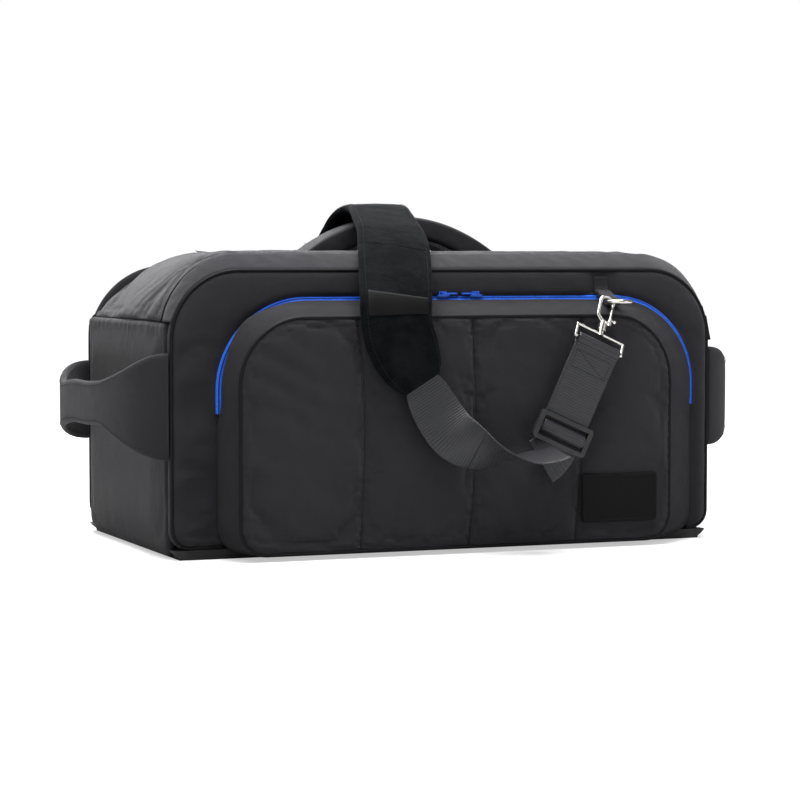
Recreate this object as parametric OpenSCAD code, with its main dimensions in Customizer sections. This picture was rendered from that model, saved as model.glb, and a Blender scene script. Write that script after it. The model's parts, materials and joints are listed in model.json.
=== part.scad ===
/* [Bag body] */
// Length of the bag, side to side
body_w = 590; // [560:1:640]
// Depth from the front panel's face to the back seam
body_d = 298; // [290:1:320]
// Height of the lid's crown above the floor
body_h = 298; // [290:1:320]
// Height of the front panel's top seam
front_h = 284; // [276:1:288]
// Radius of the two upper corners
corner_top_r = 75; // [66:1:80]
// Radius of the lid's two corners at its back edge
back_corner_r = 130; // [100:1:140]
// How far inside the side panels the lid's back edge starts
back_seam_in = 5; // [3:0.5:8]
// Radius of the padded back's two upper corners
back_pad_r = 86; // [70:1:100]
// How far the padded back's top lies below the lid's crown
back_pad_drop = 11; // [9:0.5:14]
// Radius of the two lower corners
corner_low_r = 20; // [14:1:24]
// Thickness of a padded wall
wall_t = 10; // [8:0.5:11]
// Thickness of the front panel
front_t = 12; // [9:0.5:12.5]
// How far the padded back bulges out behind its seam
back_bulge = 17; // [12:1:20]
// How far below the lid's crown the side panels meet the lid
side_seam_drop = 66; // [62:1:72]
// Thickness of the rubberised base
base_t = 9.7; // [8:0.1:10]
// Height of the side panels' lower edge above the ground
side_low_z = 1.5; // [1:0.1:3]
// Depth of the front rim, from the panel's back to the lid
rim_d = 7; // [6:0.5:10]
// Thickness of the lining cloth
lining_t = 1.2; // [0.8:0.1:1.6]
// Height of the lining's walls
lining_h = 212; // [180:1:214]
// Thickness of the stiffener board on the floor
board_t = 3; // [2:0.5:3.3]
// Radius of the sewn piping
piping_r = 1.8; // [1.2:0.1:2]

/* [Lid] */
// Width of one half of the zip tape round the lid
lid_tape_w = 6; // [5:0.5:8]
// Thickness of a zip tape
tape_t = 1.6; // [1.2:0.1:2]
// Span of the carrying handle at the lid
handle_span = 220; // [180:1:240]
// Height of the carrying handle above the lid
handle_rise = 40; // [34:1:41]
// Half of the span of the hand hole under the handle
handle_hole_half = 57; // [50:1:64]
// Height of the hand hole under the handle
handle_hole_h = 14; // [12:0.5:15]
// Width of the carrying handle
handle_w = 40; // [34:1:44]
// Thickness of the mesh pad under the handle
grip_t = 5; // [3:0.5:6]
// Length of the sewn foot patch at each end of the handle
foot_patch_l = 34; // [26:1:40]
// Thickness of the foot patches
foot_patch_t = 1.5; // [1:0.1:2]

/* [Side handles] */
// How far a side handle bows out from the side
side_handle_out = 53; // [48:1:60]
// Thickness of a side handle
side_handle_t = 8; // [6:0.5:10]
// Height of the side handle's band at its middle
side_handle_band = 44; // [36:1:50]
// Height of the middle of the side handle
side_handle_z = 150; // [140:1:160]
// Height of a side handle's sewn ends
side_handle_end = 104; // [90:1:110]

/* [Front pocket] */
// Width of the pocket at the zip
pocket_w = 519; // [500:1:530]
// Offset of the pocket's middle from the bag's middle, at the zip
pocket_x = 13.5; // [10:0.5:16]
// Height of the pocket's zip above the floor
pocket_top = 254; // [248:1:256]
// Height of the pocket's underside
pocket_low = 5; // [4:0.5:8]
// Upper corner radius at the zip
pocket_r = 90; // [80:1:96]
// Width of the pocket's face
face_w = 463; // [450:1:470]
// Offset of the face's middle from the bag's middle
face_x = -5.5; // [-8:0.5:0]
// Height of the face's top edge
face_top = 236; // [230:0.5:237]
// Upper corner radius of the face
face_r = 66; // [56:1:76]
// Lower corner radius of the pocket
pocket_low_r = 26; // [20:1:30]
// Depth from the front panel to the pocket's face
pocket_d = 46; // [44:0.5:46.5]
// Thickness of the pocket's face panel
face_t = 6; // [4:0.5:6.5]
// Thickness of the gusset
gusset_t = 5; // [4:0.5:6]
// Height where the zip ends and the face folds
fold_z = 142; // [136:1:148]
// Width of one half of the pocket's zip
zip_w = 3.4; // [3:0.1:3.6]
// Width of the bare patch on the pocket
patch_w = 85; // [70:1:90]
// Height of the bare patch on the pocket
patch_h = 50; // [40:1:54]
// Place of the bare patch's left edge
patch_x = 125; // [100:1:130]
// Height of the bare patch's lower edge
patch_z = 26; // [22:1:40]
// Thickness of the bare patch
patch_t = 1.2; // [0.8:0.1:1.6]
// Width of the organizer inside the pocket
organizer_w = 300; // [240:5:360]
// Height of the organizer inside the pocket
organizer_h = 120; // [90:5:124]
// Thickness of the organizer
organizer_t = 3; // [2:0.5:4]

/* [Shoulder strap] */
// Width of the webbing
web_w = 50; // [46:0.5:50]
// Thickness of one layer of webbing
web_t = 2; // [1.4:0.1:2.2]
// Width of the shoulder pad
pad_w = 74; // [60:1:78]
// Thickness of the shoulder pad
pad_t = 12; // [8:0.5:12.5]
// Length of webbing from the hook's loop to the slider
drop_l = 96; // [80:1:100]
// Sideways lean of the hanging strap end, in degrees
lean = 24; // [18:1:26]
// Forward tilt of the snap hook, in degrees
hook_tilt = 22; // [20:1:24]
// Backward tilt of the hanging webbing, in degrees
drop_tilt = 3; // [2:0.5:4]
// Outer length of the strap slider
glide_w = 62; // [60:1:66]
// Height of the strap slider
glide_h = 30; // [28:1:34]
// Thickness of the strap slider
glide_t = 4.5; // [3.5:0.5:5]
// Width of the bare patch on the shoulder pad
pad_patch_w = 62; // [50:1:64]
// Height of the bare patch on the shoulder pad
pad_patch_h = 19; // [14:1:19]
// Thickness of the bare patch on the shoulder pad
pad_patch_t = 1.2; // [0.8:0.1:1.6]

/* [Snap hooks and rings] */
// Middle radius of a ring
ring_r = 13; // [12:0.5:14]
// Wire radius of a ring
ring_wire = 2; // [1.8:0.1:2.2]
// Sideways place of the front ring's middle
ring_x = 168; // [160:1:174]
// Height of the rings
ring_z = 250; // [249:0.5:252]
// Reach of the ring's middle in front of the front panel
ring_reach = 43; // [42.5:0.5:45]
// How far below the lid's crown the centre of the back ring hangs
ring_back_drop = 62; // [58:1:70]
// Width of the webbing tab that holds a ring
tab_w = 16; // [12:1:18]
// Thickness of the tab's webbing
tab_t = 1.6; // [1.2:0.1:1.6]
// Height of the line where the front tab is sewn
tab_sew_z = 262; // [261:0.5:264]
// Inner width of the strap loop on a snap hook
loop_w = 52; // [51:0.5:54]
// Height of the strap loop
loop_h = 13; // [12:0.5:14]
// Wire radius of the strap loop
loop_wire = 1.6; // [1.4:0.1:1.8]
// Half width of the snap hook's eye
eye_half = 7.5; // [7:0.25:8.5]
// Wire radius of the snap hook's eye
eye_wire = 2; // [1.8:0.1:2.2]
// Radius of the bolt in the snap hook
bolt_r = 1.2; // [1:0.1:1.3]
// Travel of the bolt
bolt_travel = 5; // [4.5:0.1:5.5]
// Radius of the swivel pin
pin_r = 1.5; // [1.2:0.1:1.6]
// Radius of the swivel barrel
barrel_r = 4.4; // [4.2:0.1:4.8]

/* [Zip sliders] */
// Length of a zip slider
slider_l = 12; // [10:0.5:13]
// Length of a zip pull
pull_l = 16; // [13:1:17]
// Place of the left pocket slider
slider_left_x = -10; // [-16:1:-9]
// Place of the right pocket slider
slider_right_x = 26; // [25:1:32]
// Length of the main zip's webbing pull
main_pull_l = 30; // [24:1:34]
// Place of the main slider round the right upper corner, in degrees
main_angle = 12; // [8:1:20]

/* [Dividers] */
// Thickness of a padded divider
divider_t = 9; // [6:0.5:12]
// Height of a divider
divider_h = 190; // [150:1:196]
// Place of a divider from the middle, left and right
divider_x = 95; // [80:1:120]

/* [Hidden] */
$fn = 48;

cloth = "#2b2b30";
cloth_top = "#3a3a3f";
rubber = "#3c3f42";
liner = "#55585c";
webbing = "#4a4b50";
velour = "#1c2020";
blue = "#285fd6";
nickel = "#c8c8cc";
plastic = "#3a3d40";

// Clearances
soft_gap = 0.3;
seam_gap = 0.2;
run_gap = 0.05;
link_gap = 1;
lid_swing_gap = 5;
tiny = 0.01;
plate_t = 0.2;
big = 1000;

// Places worked out from the sizes above
half_w = body_w / 2;
front_y = -150;
back_y = front_y + body_d;
front_in_y = front_y + front_t;
back_in_y = back_y - wall_t;
rim_y = front_in_y + rim_d;
lid_front_y = rim_y + 1;
lid_back_y = back_y - 1;
panel_low_z = base_t + soft_gap;
hinge_y = lid_back_y;
hinge_z = body_h;
side_seam_z = body_h - side_seam_drop;
ring_back_z = body_h - ring_back_drop;
lid_edge_r = hinge_y - lid_front_y;
// The rim's back edge follows the arc that the lid's edge swings through
rim_curve = 12;
corner_x = half_w - corner_top_r;
corner_z = body_h - corner_top_r;
// The raised middle of the padded back, and how far the base stays inside the back's face
back_pad_t = 7;
back_pad_in = 2;
piping_gap = 0.2;
base_back_in = 4;

pocket_back_y = front_y - soft_gap;
zip_bag_y = pocket_back_y - zip_w;
zip_flap_y = zip_bag_y - soft_gap - zip_w;
gusset_y = zip_flap_y - seam_gap;
face_y = front_y - pocket_d;
face_in_y = face_y + face_t;
fold_y = face_y - soft_gap;
flap_low_z = fold_z + soft_gap;

// A rounded rectangle in the X-Z plane, with its own radii above and below
module arch(w, x, low, top, r_top, r_low) {
    hw = w / 2;
    translate([x, 0]) union() {
        translate([-hw, low + r_low]) square([w, top - low - r_low - r_top]);
        translate([-hw + r_top, low + r_low]) square([w - 2 * r_top, top - low - r_low]);
        translate([-hw + r_low, low]) square([w - 2 * r_low, r_low + tiny]);
        for (s = [-1, 1]) {
            translate([s * (hw - r_top), top - r_top]) circle(r_top, $fn = 96);
            translate([s * (hw - r_low), low + r_low]) circle(r_low);
        }
    }
}

// Stands an X-Z outline up and gives it depth from y0 back to y1
module upright(y0, y1) {
    translate([0, y1, 0]) rotate([90, 0, 0]) linear_extrude(y1 - y0) children();
}

// Everything above or below a level
module above(z) { translate([-big / 2, -big / 2, z]) cube(big); }
module below(z) { translate([-big / 2, -big / 2, z - big]) cube(big); }

module body_arch(inset) {
    arch(body_w - 2 * inset, 0, inset, body_h - inset, corner_top_r - inset, max(corner_low_r - inset, 4));
}

// The lid's outline at its back edge: its corners slope in from the side seams
module back_outline(inset) {
    big_r = back_corner_r - inset;
    hull() {
        for (sx = [-1, 1]) {
            translate([sx * (half_w - back_corner_r), body_h - back_corner_r]) circle(big_r, $fn = 96);
            translate([sx * (half_w - back_seam_in - inset - 1), side_seam_z - 1]) square(2, center = true);
            translate([sx * (half_w - inset - 1), side_seam_z - 12]) square(2, center = true);
            translate([sx * (half_w - corner_low_r), panel_low_z + corner_low_r])
                circle(corner_low_r - min(inset, corner_low_r - 4), $fn = 32);
        }
    }
}

module front_arch(inset) {
    arch(body_w - 2 * inset, 0, panel_low_z + inset, front_h - inset, corner_top_r - 4 - inset,
         corner_low_r - inset);
}

module zip_arch(inset) {
    arch(pocket_w - 2 * inset, pocket_x, pocket_low + inset, pocket_top - inset, pocket_r - inset,
         pocket_low_r - inset);
}

module face_arch(inset) {
    arch(face_w - 2 * inset, face_x, pocket_low + 2 + inset, face_top - inset, face_r - inset,
         pocket_low_r - inset);
}

// A quarter turn of a round cord
module cord_bend(bend_r, r) {
    rotate_extrude(angle = 90) translate([bend_r, 0]) circle(r, $fn = 16);
}

// A round cord that follows a rounded rectangle in the plane y
module piping(w, x, low, top, r_top, r_low, y, r) {
    hw = w / 2;
    translate([x, y, 0]) rotate([90, 0, 0]) {
        for (s = [0, 1]) mirror([s, 0, 0]) {
            translate([hw - r_top, top - r_top, 0]) cord_bend(r_top, r);
            translate([hw - r_low, low + r_low, 0]) rotate([0, 0, -90]) cord_bend(r_low, r);
            translate([hw, low + r_low, 0]) rotate([-90, 0, 0])
                cylinder(r = r, h = top - low - r_low - r_top, $fn = 16);
        }
        translate([-hw + r_top, top, 0]) rotate([0, 90, 0])
            cylinder(r = r, h = w - 2 * r_top, $fn = 16);
        translate([-hw + r_low, low, 0]) rotate([0, 90, 0])
            cylinder(r = r, h = w - 2 * r_low, $fn = 16);
    }
}

// Vector helpers for the straps
function unit(v) = v / norm(v);
function square_to(w, t) = unit(w - t * (w * t));

// A thin plate across a strap at one station: s is [place, direction across, width]
module strap_plate(s, t, thick) {
    a = square_to(s[1], t);
    b = cross(t, a);
    p = s[0];
    multmatrix([[a[0], b[0], t[0], p[0]], [a[1], b[1], t[1], p[1]], [a[2], b[2], t[2], p[2]]])
        cube([s[2], thick, plate_t], center = true);
}

// A flat strap through a list of stations
module strap(stations, thick) {
    n = len(stations);
    way = [for (i = [0:n - 1]) unit(stations[min(i + 1, n - 1)][0] - stations[max(i - 1, 0)][0])];
    for (i = [0:n - 2]) hull() {
        strap_plate(stations[i], way[i], thick);
        strap_plate(stations[i + 1], way[i + 1], thick);
    }
}

// ---------- Bag body ----------

module base_tray() {
    end_y = back_y + back_bulge - base_back_in;
    color(rubber) union() {
        intersection() {
            union() {
                upright(front_y, front_in_y) body_arch(0);
                upright(back_y, end_y) body_arch(0);
            }
            below(base_t);
        }
        translate([-half_w + wall_t + soft_gap, front_y + 1, 0])
            cube([body_w - 2 * (wall_t + soft_gap), end_y - front_y - 2, base_t]);
    }
}

module base_board() {
    color(plastic)
        translate([-half_w + wall_t + 3, front_in_y + 3, base_t + tiny])
            cube([body_w - 2 * wall_t - 6, back_in_y - front_in_y - 6, board_t]);
}

module front_panel() {
    color(cloth) upright(front_y, front_in_y) front_arch(0);
}

module back_pad_outline(inset) {
    arch(body_w - 2 * inset, 0, panel_low_z + inset, body_h - back_pad_drop + back_pad_in - inset,
         back_pad_r + back_pad_in - inset, corner_low_r);
}

module back_panel() {
    neck_y = back_y + 2 * piping_r + 2 * piping_gap;
    color(cloth) union() {
        upright(back_in_y, back_y) back_outline(wall_t + lid_swing_gap);
        upright(back_y - tiny, neck_y) back_outline(2 * piping_r + piping_gap);
        upright(neck_y - tiny, back_y + back_bulge - back_pad_t) back_pad_outline(back_pad_in);
        upright(back_y + back_bulge - back_pad_t - tiny, back_y + back_bulge)
            back_pad_outline(back_pad_in + 6);
    }
}

module side_panel(side) {
    x0 = side > 0 ? half_w - wall_t : -half_w;
    depth = back_y - front_in_y - 2 * soft_gap - 10 * tiny;
    height = side_seam_z - side_low_z - soft_gap;
    color(cloth_top) translate([x0, front_in_y + soft_gap, side_low_z])
        cube([wall_t, depth, height]);
}

module side_panel_left() { side_panel(-1); }
module side_panel_right() { side_panel(1); }

// The rolled edge between the front panel and the lid
module front_rim() {
    slope = atan2(body_h - front_h, rim_y - front_y - 2);
    color(cloth_top) difference() {
        intersection() {
            upright(front_y, rim_y + rim_curve) body_arch(0);
            above(side_seam_z + soft_gap);
        }
        upright(front_y - 1, front_in_y + seam_gap) union() {
            front_arch(-seam_gap);
            translate([-half_w - 1, 0]) square([body_w + 2, corner_z]);
        }
        upright(front_in_y, rim_y + rim_curve + 1) body_arch(wall_t);
        fold_cylinder(lid_edge_r + 1);
        translate([-half_w - 1, front_y - 1, front_h + 1]) rotate([slope, 0, 0]) cube([body_w + 2, 40, 40]);
    }
}

module lining() {
    x0 = half_w - wall_t - soft_gap;
    y0 = front_in_y + soft_gap;
    y1 = back_in_y - soft_gap;
    z0 = base_t + board_t + 2 * tiny;
    color(liner) difference() {
        translate([-x0, y0, z0]) cube([2 * x0, y1 - y0, lining_h]);
        translate([-x0 + lining_t, y0 + lining_t, z0 + lining_t])
            cube([2 * (x0 - lining_t), y1 - y0 - 2 * lining_t, lining_h]);
    }
}

// The pocket is sewn over the cord's lower run
module front_piping() {
    color(cloth) difference() {
        piping(body_w - 4, 0, panel_low_z + 2, front_h - 2, corner_top_r - 6, corner_low_r - 2,
               front_y - piping_r - tiny, piping_r);
        upright(front_y - 5 * piping_r, front_y) zip_arch(-seam_gap);
    }
}

module back_piping() {
    y0 = back_y + piping_gap;
    color(cloth) upright(y0, y0 + 2 * piping_r) difference() {
        back_outline(0);
        back_outline(2 * piping_r);
    }
}

// ---------- Lid ----------

// A band of the lid's arch, from the outline inset by t0 to that inset by t1
module arch_band(y0, y1, t0, t1) {
    intersection() {
        upright(y0, y1) difference() {
            body_arch(t0);
            body_arch(t1);
        }
        above(side_seam_z + soft_gap);
    }
}

// A cylinder round the lid's fold line, which trims every edge that swings past the rim
module fold_cylinder(r) {
    translate([-big / 2, hinge_y, hinge_z]) rotate([0, 90, 0]) cylinder(r = r, h = big, $fn = 180);
}

// The lid's shell between two insets, from its front arch to its lower and rounder back edge
module lid_form(inset) {
    hull() {
        upright(lid_front_y, lid_front_y + 1) body_arch(inset);
        upright(lid_back_y - 1, lid_back_y) back_outline(inset);
    }
}

module lid_band(t0, t1) {
    difference() {
        lid_form(t0);
        hull() {
            upright(lid_front_y - 1, lid_front_y + 1) body_arch(t1);
            upright(lid_back_y - 1, lid_back_y + 1) back_outline(t1);
        }
        below(side_seam_z + soft_gap);
    }
}

module lid_panel() {
    color(cloth_top) intersection() {
        lid_band(0, wall_t - tape_t - seam_gap);
        fold_cylinder(lid_edge_r);
    }
}

module lid_zip_upper() {
    color(plastic) intersection() {
        lid_band(wall_t - tape_t, wall_t);
        difference() {
            fold_cylinder(lid_edge_r);
            fold_cylinder(lid_edge_r - lid_tape_w);
        }
    }
}

module lid_zip_lower() {
    color(plastic) difference() {
        arch_band(front_in_y + soft_gap, rim_y + rim_curve, wall_t + seam_gap, wall_t + seam_gap + tape_t);
        fold_cylinder(lid_edge_r + 1);
    }
}

handle_out_r = (pow(handle_span / 2, 2) + pow(handle_rise, 2)) / (2 * handle_rise);
handle_hole_r = (pow(handle_hole_half, 2) + pow(handle_hole_h, 2)) / (2 * handle_hole_h);
lid_top = body_h + tiny;

module handle_hole(extra) {
    translate([0, lid_top + handle_hole_h - handle_hole_r]) circle(handle_hole_r + extra, $fn = 120);
}

module top_handle() {
    color(cloth) upright(-handle_w / 2, handle_w / 2) difference() {
        intersection() {
            translate([0, lid_top + handle_rise - handle_out_r]) circle(handle_out_r, $fn = 120);
            translate([-handle_span, lid_top]) square([2 * handle_span, handle_span]);
        }
        handle_hole(grip_t + seam_gap);
    }
}

module top_handle_grip() {
    color(liner) upright(-handle_w / 2 + 3, handle_w / 2 - 3) difference() {
        intersection() {
            handle_hole(grip_t);
            translate([-handle_span, lid_top]) square([2 * handle_span, handle_span]);
        }
        handle_hole(0);
    }
}

module handle_patches() {
    color(webbing) for (s = [-1, 1])
        translate([s * (handle_span / 2 + foot_patch_l / 2 + soft_gap), 0, lid_top + foot_patch_t / 2])
            cube([foot_patch_l, handle_w, foot_patch_t], center = true);
}

// ---------- Side handles ----------

// How far a handle stands off the side, flat in the middle and square to the seams at its ends
function bow(u) = pow(1 - pow(abs(u), 3), 1 / 2.2);
bow_half = (back_y - front_y) / 2 - 4;
bow_mid = (back_y + front_y) / 2;
bow_steps = 24;

module bow_outline(out) {
    polygon([for (i = [-bow_steps:bow_steps]) let (u = i / bow_steps)
        [out * bow(u), bow_mid + bow_half * u]]);
}

// The band's side view: tall at the seams, narrow at the middle
module handle_side_view() {
    polygon(concat(
        [for (i = [-bow_steps:bow_steps]) let (u = i / bow_steps)
            [bow_mid + (bow_half + 1) * u, side_handle_z + band_half(u)]],
        [for (i = [bow_steps:-1:-bow_steps]) let (u = i / bow_steps)
            [bow_mid + (bow_half + 1) * u, side_handle_z - band_half(u)]]));
}

function band_half(u) =
    let (flare = pow(max(0, (abs(u) - 0.45) / 0.55), 1.6))
    side_handle_band / 2 + (side_handle_end - side_handle_band) / 2 * flare;

module side_handle(side) {
    shrink = (bow_half - side_handle_t) / bow_half;
    color(cloth_top) mirror([side > 0 ? 0 : 1, 0, 0]) translate([half_w + soft_gap, 0, 0]) intersection() {
        translate([0, 0, side_handle_z - side_handle_end]) linear_extrude(2 * side_handle_end) difference() {
            bow_outline(side_handle_out);
            translate([0, bow_mid]) scale(shrink) translate([0, -bow_mid])
                bow_outline((side_handle_out - side_handle_t) / shrink);
        }
        rotate([90, 0, 90]) linear_extrude(side_handle_out + 1) handle_side_view();
    }
}

module side_handle_left() { side_handle(-1); }
module side_handle_right() { side_handle(1); }

// ---------- Front pocket ----------

module face_plate() {
    upright(face_y, face_in_y) face_arch(0);
}

// The tapering wall between the zip and the face
module gusset_wall() {
    difference() {
        hull() {
            upright(gusset_y - 1, gusset_y) zip_arch(0);
            upright(face_in_y + tiny, face_in_y + 1) face_arch(0);
        }
        hull() {
            upright(gusset_y, gusset_y + 2) zip_arch(gusset_t);
            upright(face_in_y - 2, face_in_y) face_arch(gusset_t);
        }
    }
}

module pocket_piping_path() {
    off = piping_r + tiny;
    piping(face_w + 2 * off, face_x, pocket_low + 2 - off, face_top + off, face_r + off, pocket_low_r + off,
           (face_y + face_in_y) / 2, piping_r - 0.3);
}

module pocket_face_lower() {
    color(cloth) intersection() {
        face_plate();
        below(fold_z);
    }
}

module pocket_gusset_lower() {
    color(cloth) intersection() {
        union() {
            gusset_wall();
            upright(gusset_y - tiny, pocket_back_y) difference() {
                zip_arch(0);
                zip_arch(gusset_t);
            }
        }
        below(fold_z);
    }
}

module pocket_piping_lower() {
    color(cloth) intersection() {
        pocket_piping_path();
        below(fold_z);
    }
}

module pocket_face_upper() {
    color(cloth) intersection() {
        face_plate();
        above(flap_low_z);
    }
}

module pocket_gusset_upper() {
    color(cloth) intersection() {
        gusset_wall();
        above(flap_low_z);
    }
}

module pocket_piping_upper() {
    color(cloth) intersection() {
        pocket_piping_path();
        above(flap_low_z);
    }
}

module zip_band(y0, y1) {
    intersection() {
        upright(y0, y1) difference() {
            zip_arch(0);
            zip_arch(gusset_t);
        }
        above(flap_low_z);
    }
}

module pocket_zip_bag() {
    color(blue) zip_band(zip_bag_y, pocket_back_y);
}

module pocket_zip_flap() {
    color(blue) zip_band(zip_flap_y, zip_flap_y + zip_w);
}

module pocket_patch() {
    color(plastic) translate([patch_x, face_y - patch_t - tiny, patch_z])
        cube([patch_w, patch_t, patch_h]);
}

module pocket_organizer() {
    low = pocket_low + gusset_t + soft_gap;
    color(liner) translate([pocket_x - organizer_w / 2, pocket_back_y - organizer_t, low])
        cube([organizer_w, organizer_t, organizer_h]);
}

// ---------- Zip sliders ----------

slider_z = pocket_top + soft_gap;
slider_body_h = 3.4;
slider_step = 1.9;
bridge_h = 3;
bridge_in = 2;
bridge_wall = 1.2;
pull_wire = 0.8;
pull_arm = 1.2;
pull_rise = pull_wire + 0.15;

module pocket_slider(x) {
    half = slider_l / 2;
    color(blue) translate([x, 0, slider_z]) difference() {
        union() {
            translate([-half, zip_bag_y, 0]) cube([slider_l, zip_w - soft_gap, slider_body_h]);
            translate([-half, zip_flap_y - 0.6, slider_step])
                cube([slider_l, 2 * zip_w + 0.6, slider_body_h - slider_step]);
            translate([-half + bridge_in, zip_bag_y - 1, slider_body_h - tiny])
                cube([slider_l - 2 * bridge_in, 2, bridge_h]);
        }
        translate([-half + bridge_in + bridge_wall, zip_bag_y - 3, slider_body_h])
            cube([slider_l - 2 * (bridge_in + bridge_wall), 6, bridge_h - 1]);
    }
}

// A pull lies flat along +X or -X from a round bar under the bridge
module pocket_pull(x, side) {
    ear = 1.6;
    half = slider_l / 2;
    wide = 2 * (ear + pull_arm);
    color(blue) translate([x, zip_bag_y, slider_z + slider_body_h + pull_rise])
        mirror([side > 0 ? 0 : 1, 0, 0]) {
            rotate([90, 0, 0]) cylinder(r = pull_wire, h = wide, center = true, $fn = 16);
            for (s = [-1, 1]) translate([0, s * (ear + pull_arm / 2) - pull_arm / 2, -pull_wire])
                cube([half, pull_arm, 2 * pull_wire]);
            translate([half - pull_wire, -wide / 2, -pull_wire])
                cube([pull_l - half, wide, 2 * pull_wire]);
        }
}

module pocket_slider_left() { pocket_slider(slider_left_x); }
module pocket_slider_right() { pocket_slider(slider_right_x); }
module pocket_pull_left() { pocket_pull(slider_left_x, 1); }
module pocket_pull_right() { pocket_pull(slider_right_x, -1); }

// The main zip's slider stands on the right upper corner's arc, over the seam
main_lift = 0.35;
main_body_h = 3;
main_body_w = 8;

module on_corner() {
    translate([corner_x, rim_y + 0.5, corner_z]) rotate([0, -main_angle, 0])
        translate([corner_top_r + main_lift, 0, 0]) children();
}

module main_slider() {
    half = slider_l / 2;
    color(plastic) on_corner() difference() {
        union() {
            translate([0, -main_body_w / 2, -half]) cube([main_body_h, main_body_w, slider_l]);
            translate([main_body_h - tiny, -1.2, -half + bridge_in])
                cube([bridge_h, 2.4, slider_l - 2 * bridge_in]);
        }
        translate([main_body_h, -5, -half + bridge_in + bridge_wall])
            cube([bridge_h - 1, 10, slider_l - 2 * (bridge_in + bridge_wall)]);
    }
}

module main_pull() {
    ear = 2;
    half = slider_l / 2;
    wide = 12;
    color(webbing) on_corner() translate([main_body_h + pull_rise, 0, 0]) {
        rotate([90, 0, 0]) cylinder(r = pull_wire, h = 2 * (ear + pull_arm), center = true, $fn = 16);
        for (s = [-1, 1])
            translate([-pull_wire, s * (ear + pull_arm / 2) - pull_arm / 2, -half - 1])
                cube([2 * pull_wire, pull_arm, half + 1]);
        translate([-pull_wire, -wide / 2, -half - main_pull_l + 4])
            cube([2.4, wide, main_pull_l - 4]);
    }
}

// ---------- Rings, tabs and snap hooks ----------

ring_y = front_y - ring_reach;
tab_gap = 0.3;
tab_sew_y = front_y - 2;
tab_sewn_up = 13;
tab_sewn_down = 15;
back_face_y = back_y + back_bulge;
ring_back_x = -ring_x;
ring_back_reach = 27;
ring_back_y = back_face_y + ring_back_reach;
eye_z = 36;
wire_z = eye_z + eye_half - eye_wire - ring_wire - link_gap;

module torus(r, wire) {
    rotate_extrude($fn = 64) translate([r, 0]) circle(wire, $fn = 20);
}

module ring_front() {
    color(nickel) translate([ring_x, ring_y, ring_z]) torus(ring_r, ring_wire);
}

module ring_back() {
    color(nickel) translate([ring_back_x, ring_back_y, ring_back_z]) torus(ring_r, ring_wire);
}

// A strip from the sewing line to the ring, ending in a sleeve round the ring's wire
module tab_strip(reach, drop) {
    sleeve_r = ring_wire + tab_gap + tab_t;
    angle = atan2(drop, reach);
    rotate([90, 0, 90]) translate([0, 0, -tab_w / 2]) linear_extrude(tab_w) difference() {
        union() {
            rotate(angle + 180) translate([0.9, -tab_t / 2])
                square([norm([reach, drop]) - sleeve_r + 0.8, tab_t]);
            translate([-reach, -drop]) circle(sleeve_r);
        }
        translate([-reach, -drop]) circle(ring_wire + tab_gap);
    }
}

// The sleeve's hole is widened where the ring curves away inside it
module ring_relief(x, y, z) {
    translate([x, y, z]) torus(ring_r, ring_wire + tab_gap);
}

module tab_front() {
    color(webbing) difference() {
        translate([ring_x, tab_sew_y, tab_sew_z])
            tab_strip(tab_sew_y - (ring_y + ring_r), tab_sew_z - ring_z);
        ring_relief(ring_x, ring_y, ring_z);
    }
}

module tab_front_sewn() {
    color(webbing) translate([ring_x - tab_w / 2, front_y - soft_gap - tab_t, tab_sew_z - 1])
        cube([tab_w, tab_t, tab_sewn_up + 1]);
}

tab_back_z = ring_back_z - 8;
tab_back_y = back_face_y + 2;

module tab_back() {
    color(webbing) difference() {
        translate([ring_back_x, tab_back_y, tab_back_z]) rotate([0, 0, 180])
            tab_strip(ring_back_y - ring_r - tab_back_y, tab_back_z - ring_back_z);
        ring_relief(ring_back_x, ring_back_y, ring_back_z);
    }
}

module tab_back_sewn() {
    color(webbing)
        translate([ring_back_x - tab_w / 2, back_face_y + soft_gap, tab_back_z - tab_sewn_down])
            cube([tab_w, tab_t, tab_sewn_down + 1]);
}

// The snap hook's own frame: the loop's upper bar is at the origin, the eye is up
module on_front_hook() {
    translate([ring_x - ring_r, ring_y, ring_z]) rotate([-hook_tilt, lean, 0]) translate([0, 0, -wire_z])
        children();
}

back_lean = 8;
back_tilt = 26;

module on_back_hook() {
    translate([ring_back_x + ring_r, ring_back_y, ring_back_z]) rotate([-back_tilt, 180 + back_lean, 0])
        translate([0, 0, -wire_z]) children();
}

post_top = 9;
head_z = 7;
head_r = 2.4;
barrel_z0 = 3.2;
barrel_z1 = 12;
eye_low = 21;
housing_z = 12.5;
housing_r = 2.4;
knob_z = eye_low - 2;
knob_t = 1.4;

module strap_loop() {
    half = loop_w / 2 + loop_wire;
    color(nickel) union() {
        for (z = [0, -loop_h]) translate([-half, 0, z]) rotate([0, 90, 0])
            cylinder(r = loop_wire, h = 2 * half, $fn = 20);
        for (s = [-1, 1]) {
            translate([s * half, 0, -loop_h]) cylinder(r = loop_wire, h = loop_h, $fn = 20);
            for (z = [0, -loop_h]) translate([s * half, 0, z]) sphere(loop_wire, $fn = 20);
        }
        translate([0, 0, -2]) cylinder(r = 3.2, h = 4.6);
        translate([0, 0, 2]) cylinder(r = pin_r, h = head_z - 2 + tiny);
        translate([0, 0, head_z]) cylinder(r = head_r, h = post_top - head_z);
    }
}

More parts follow.
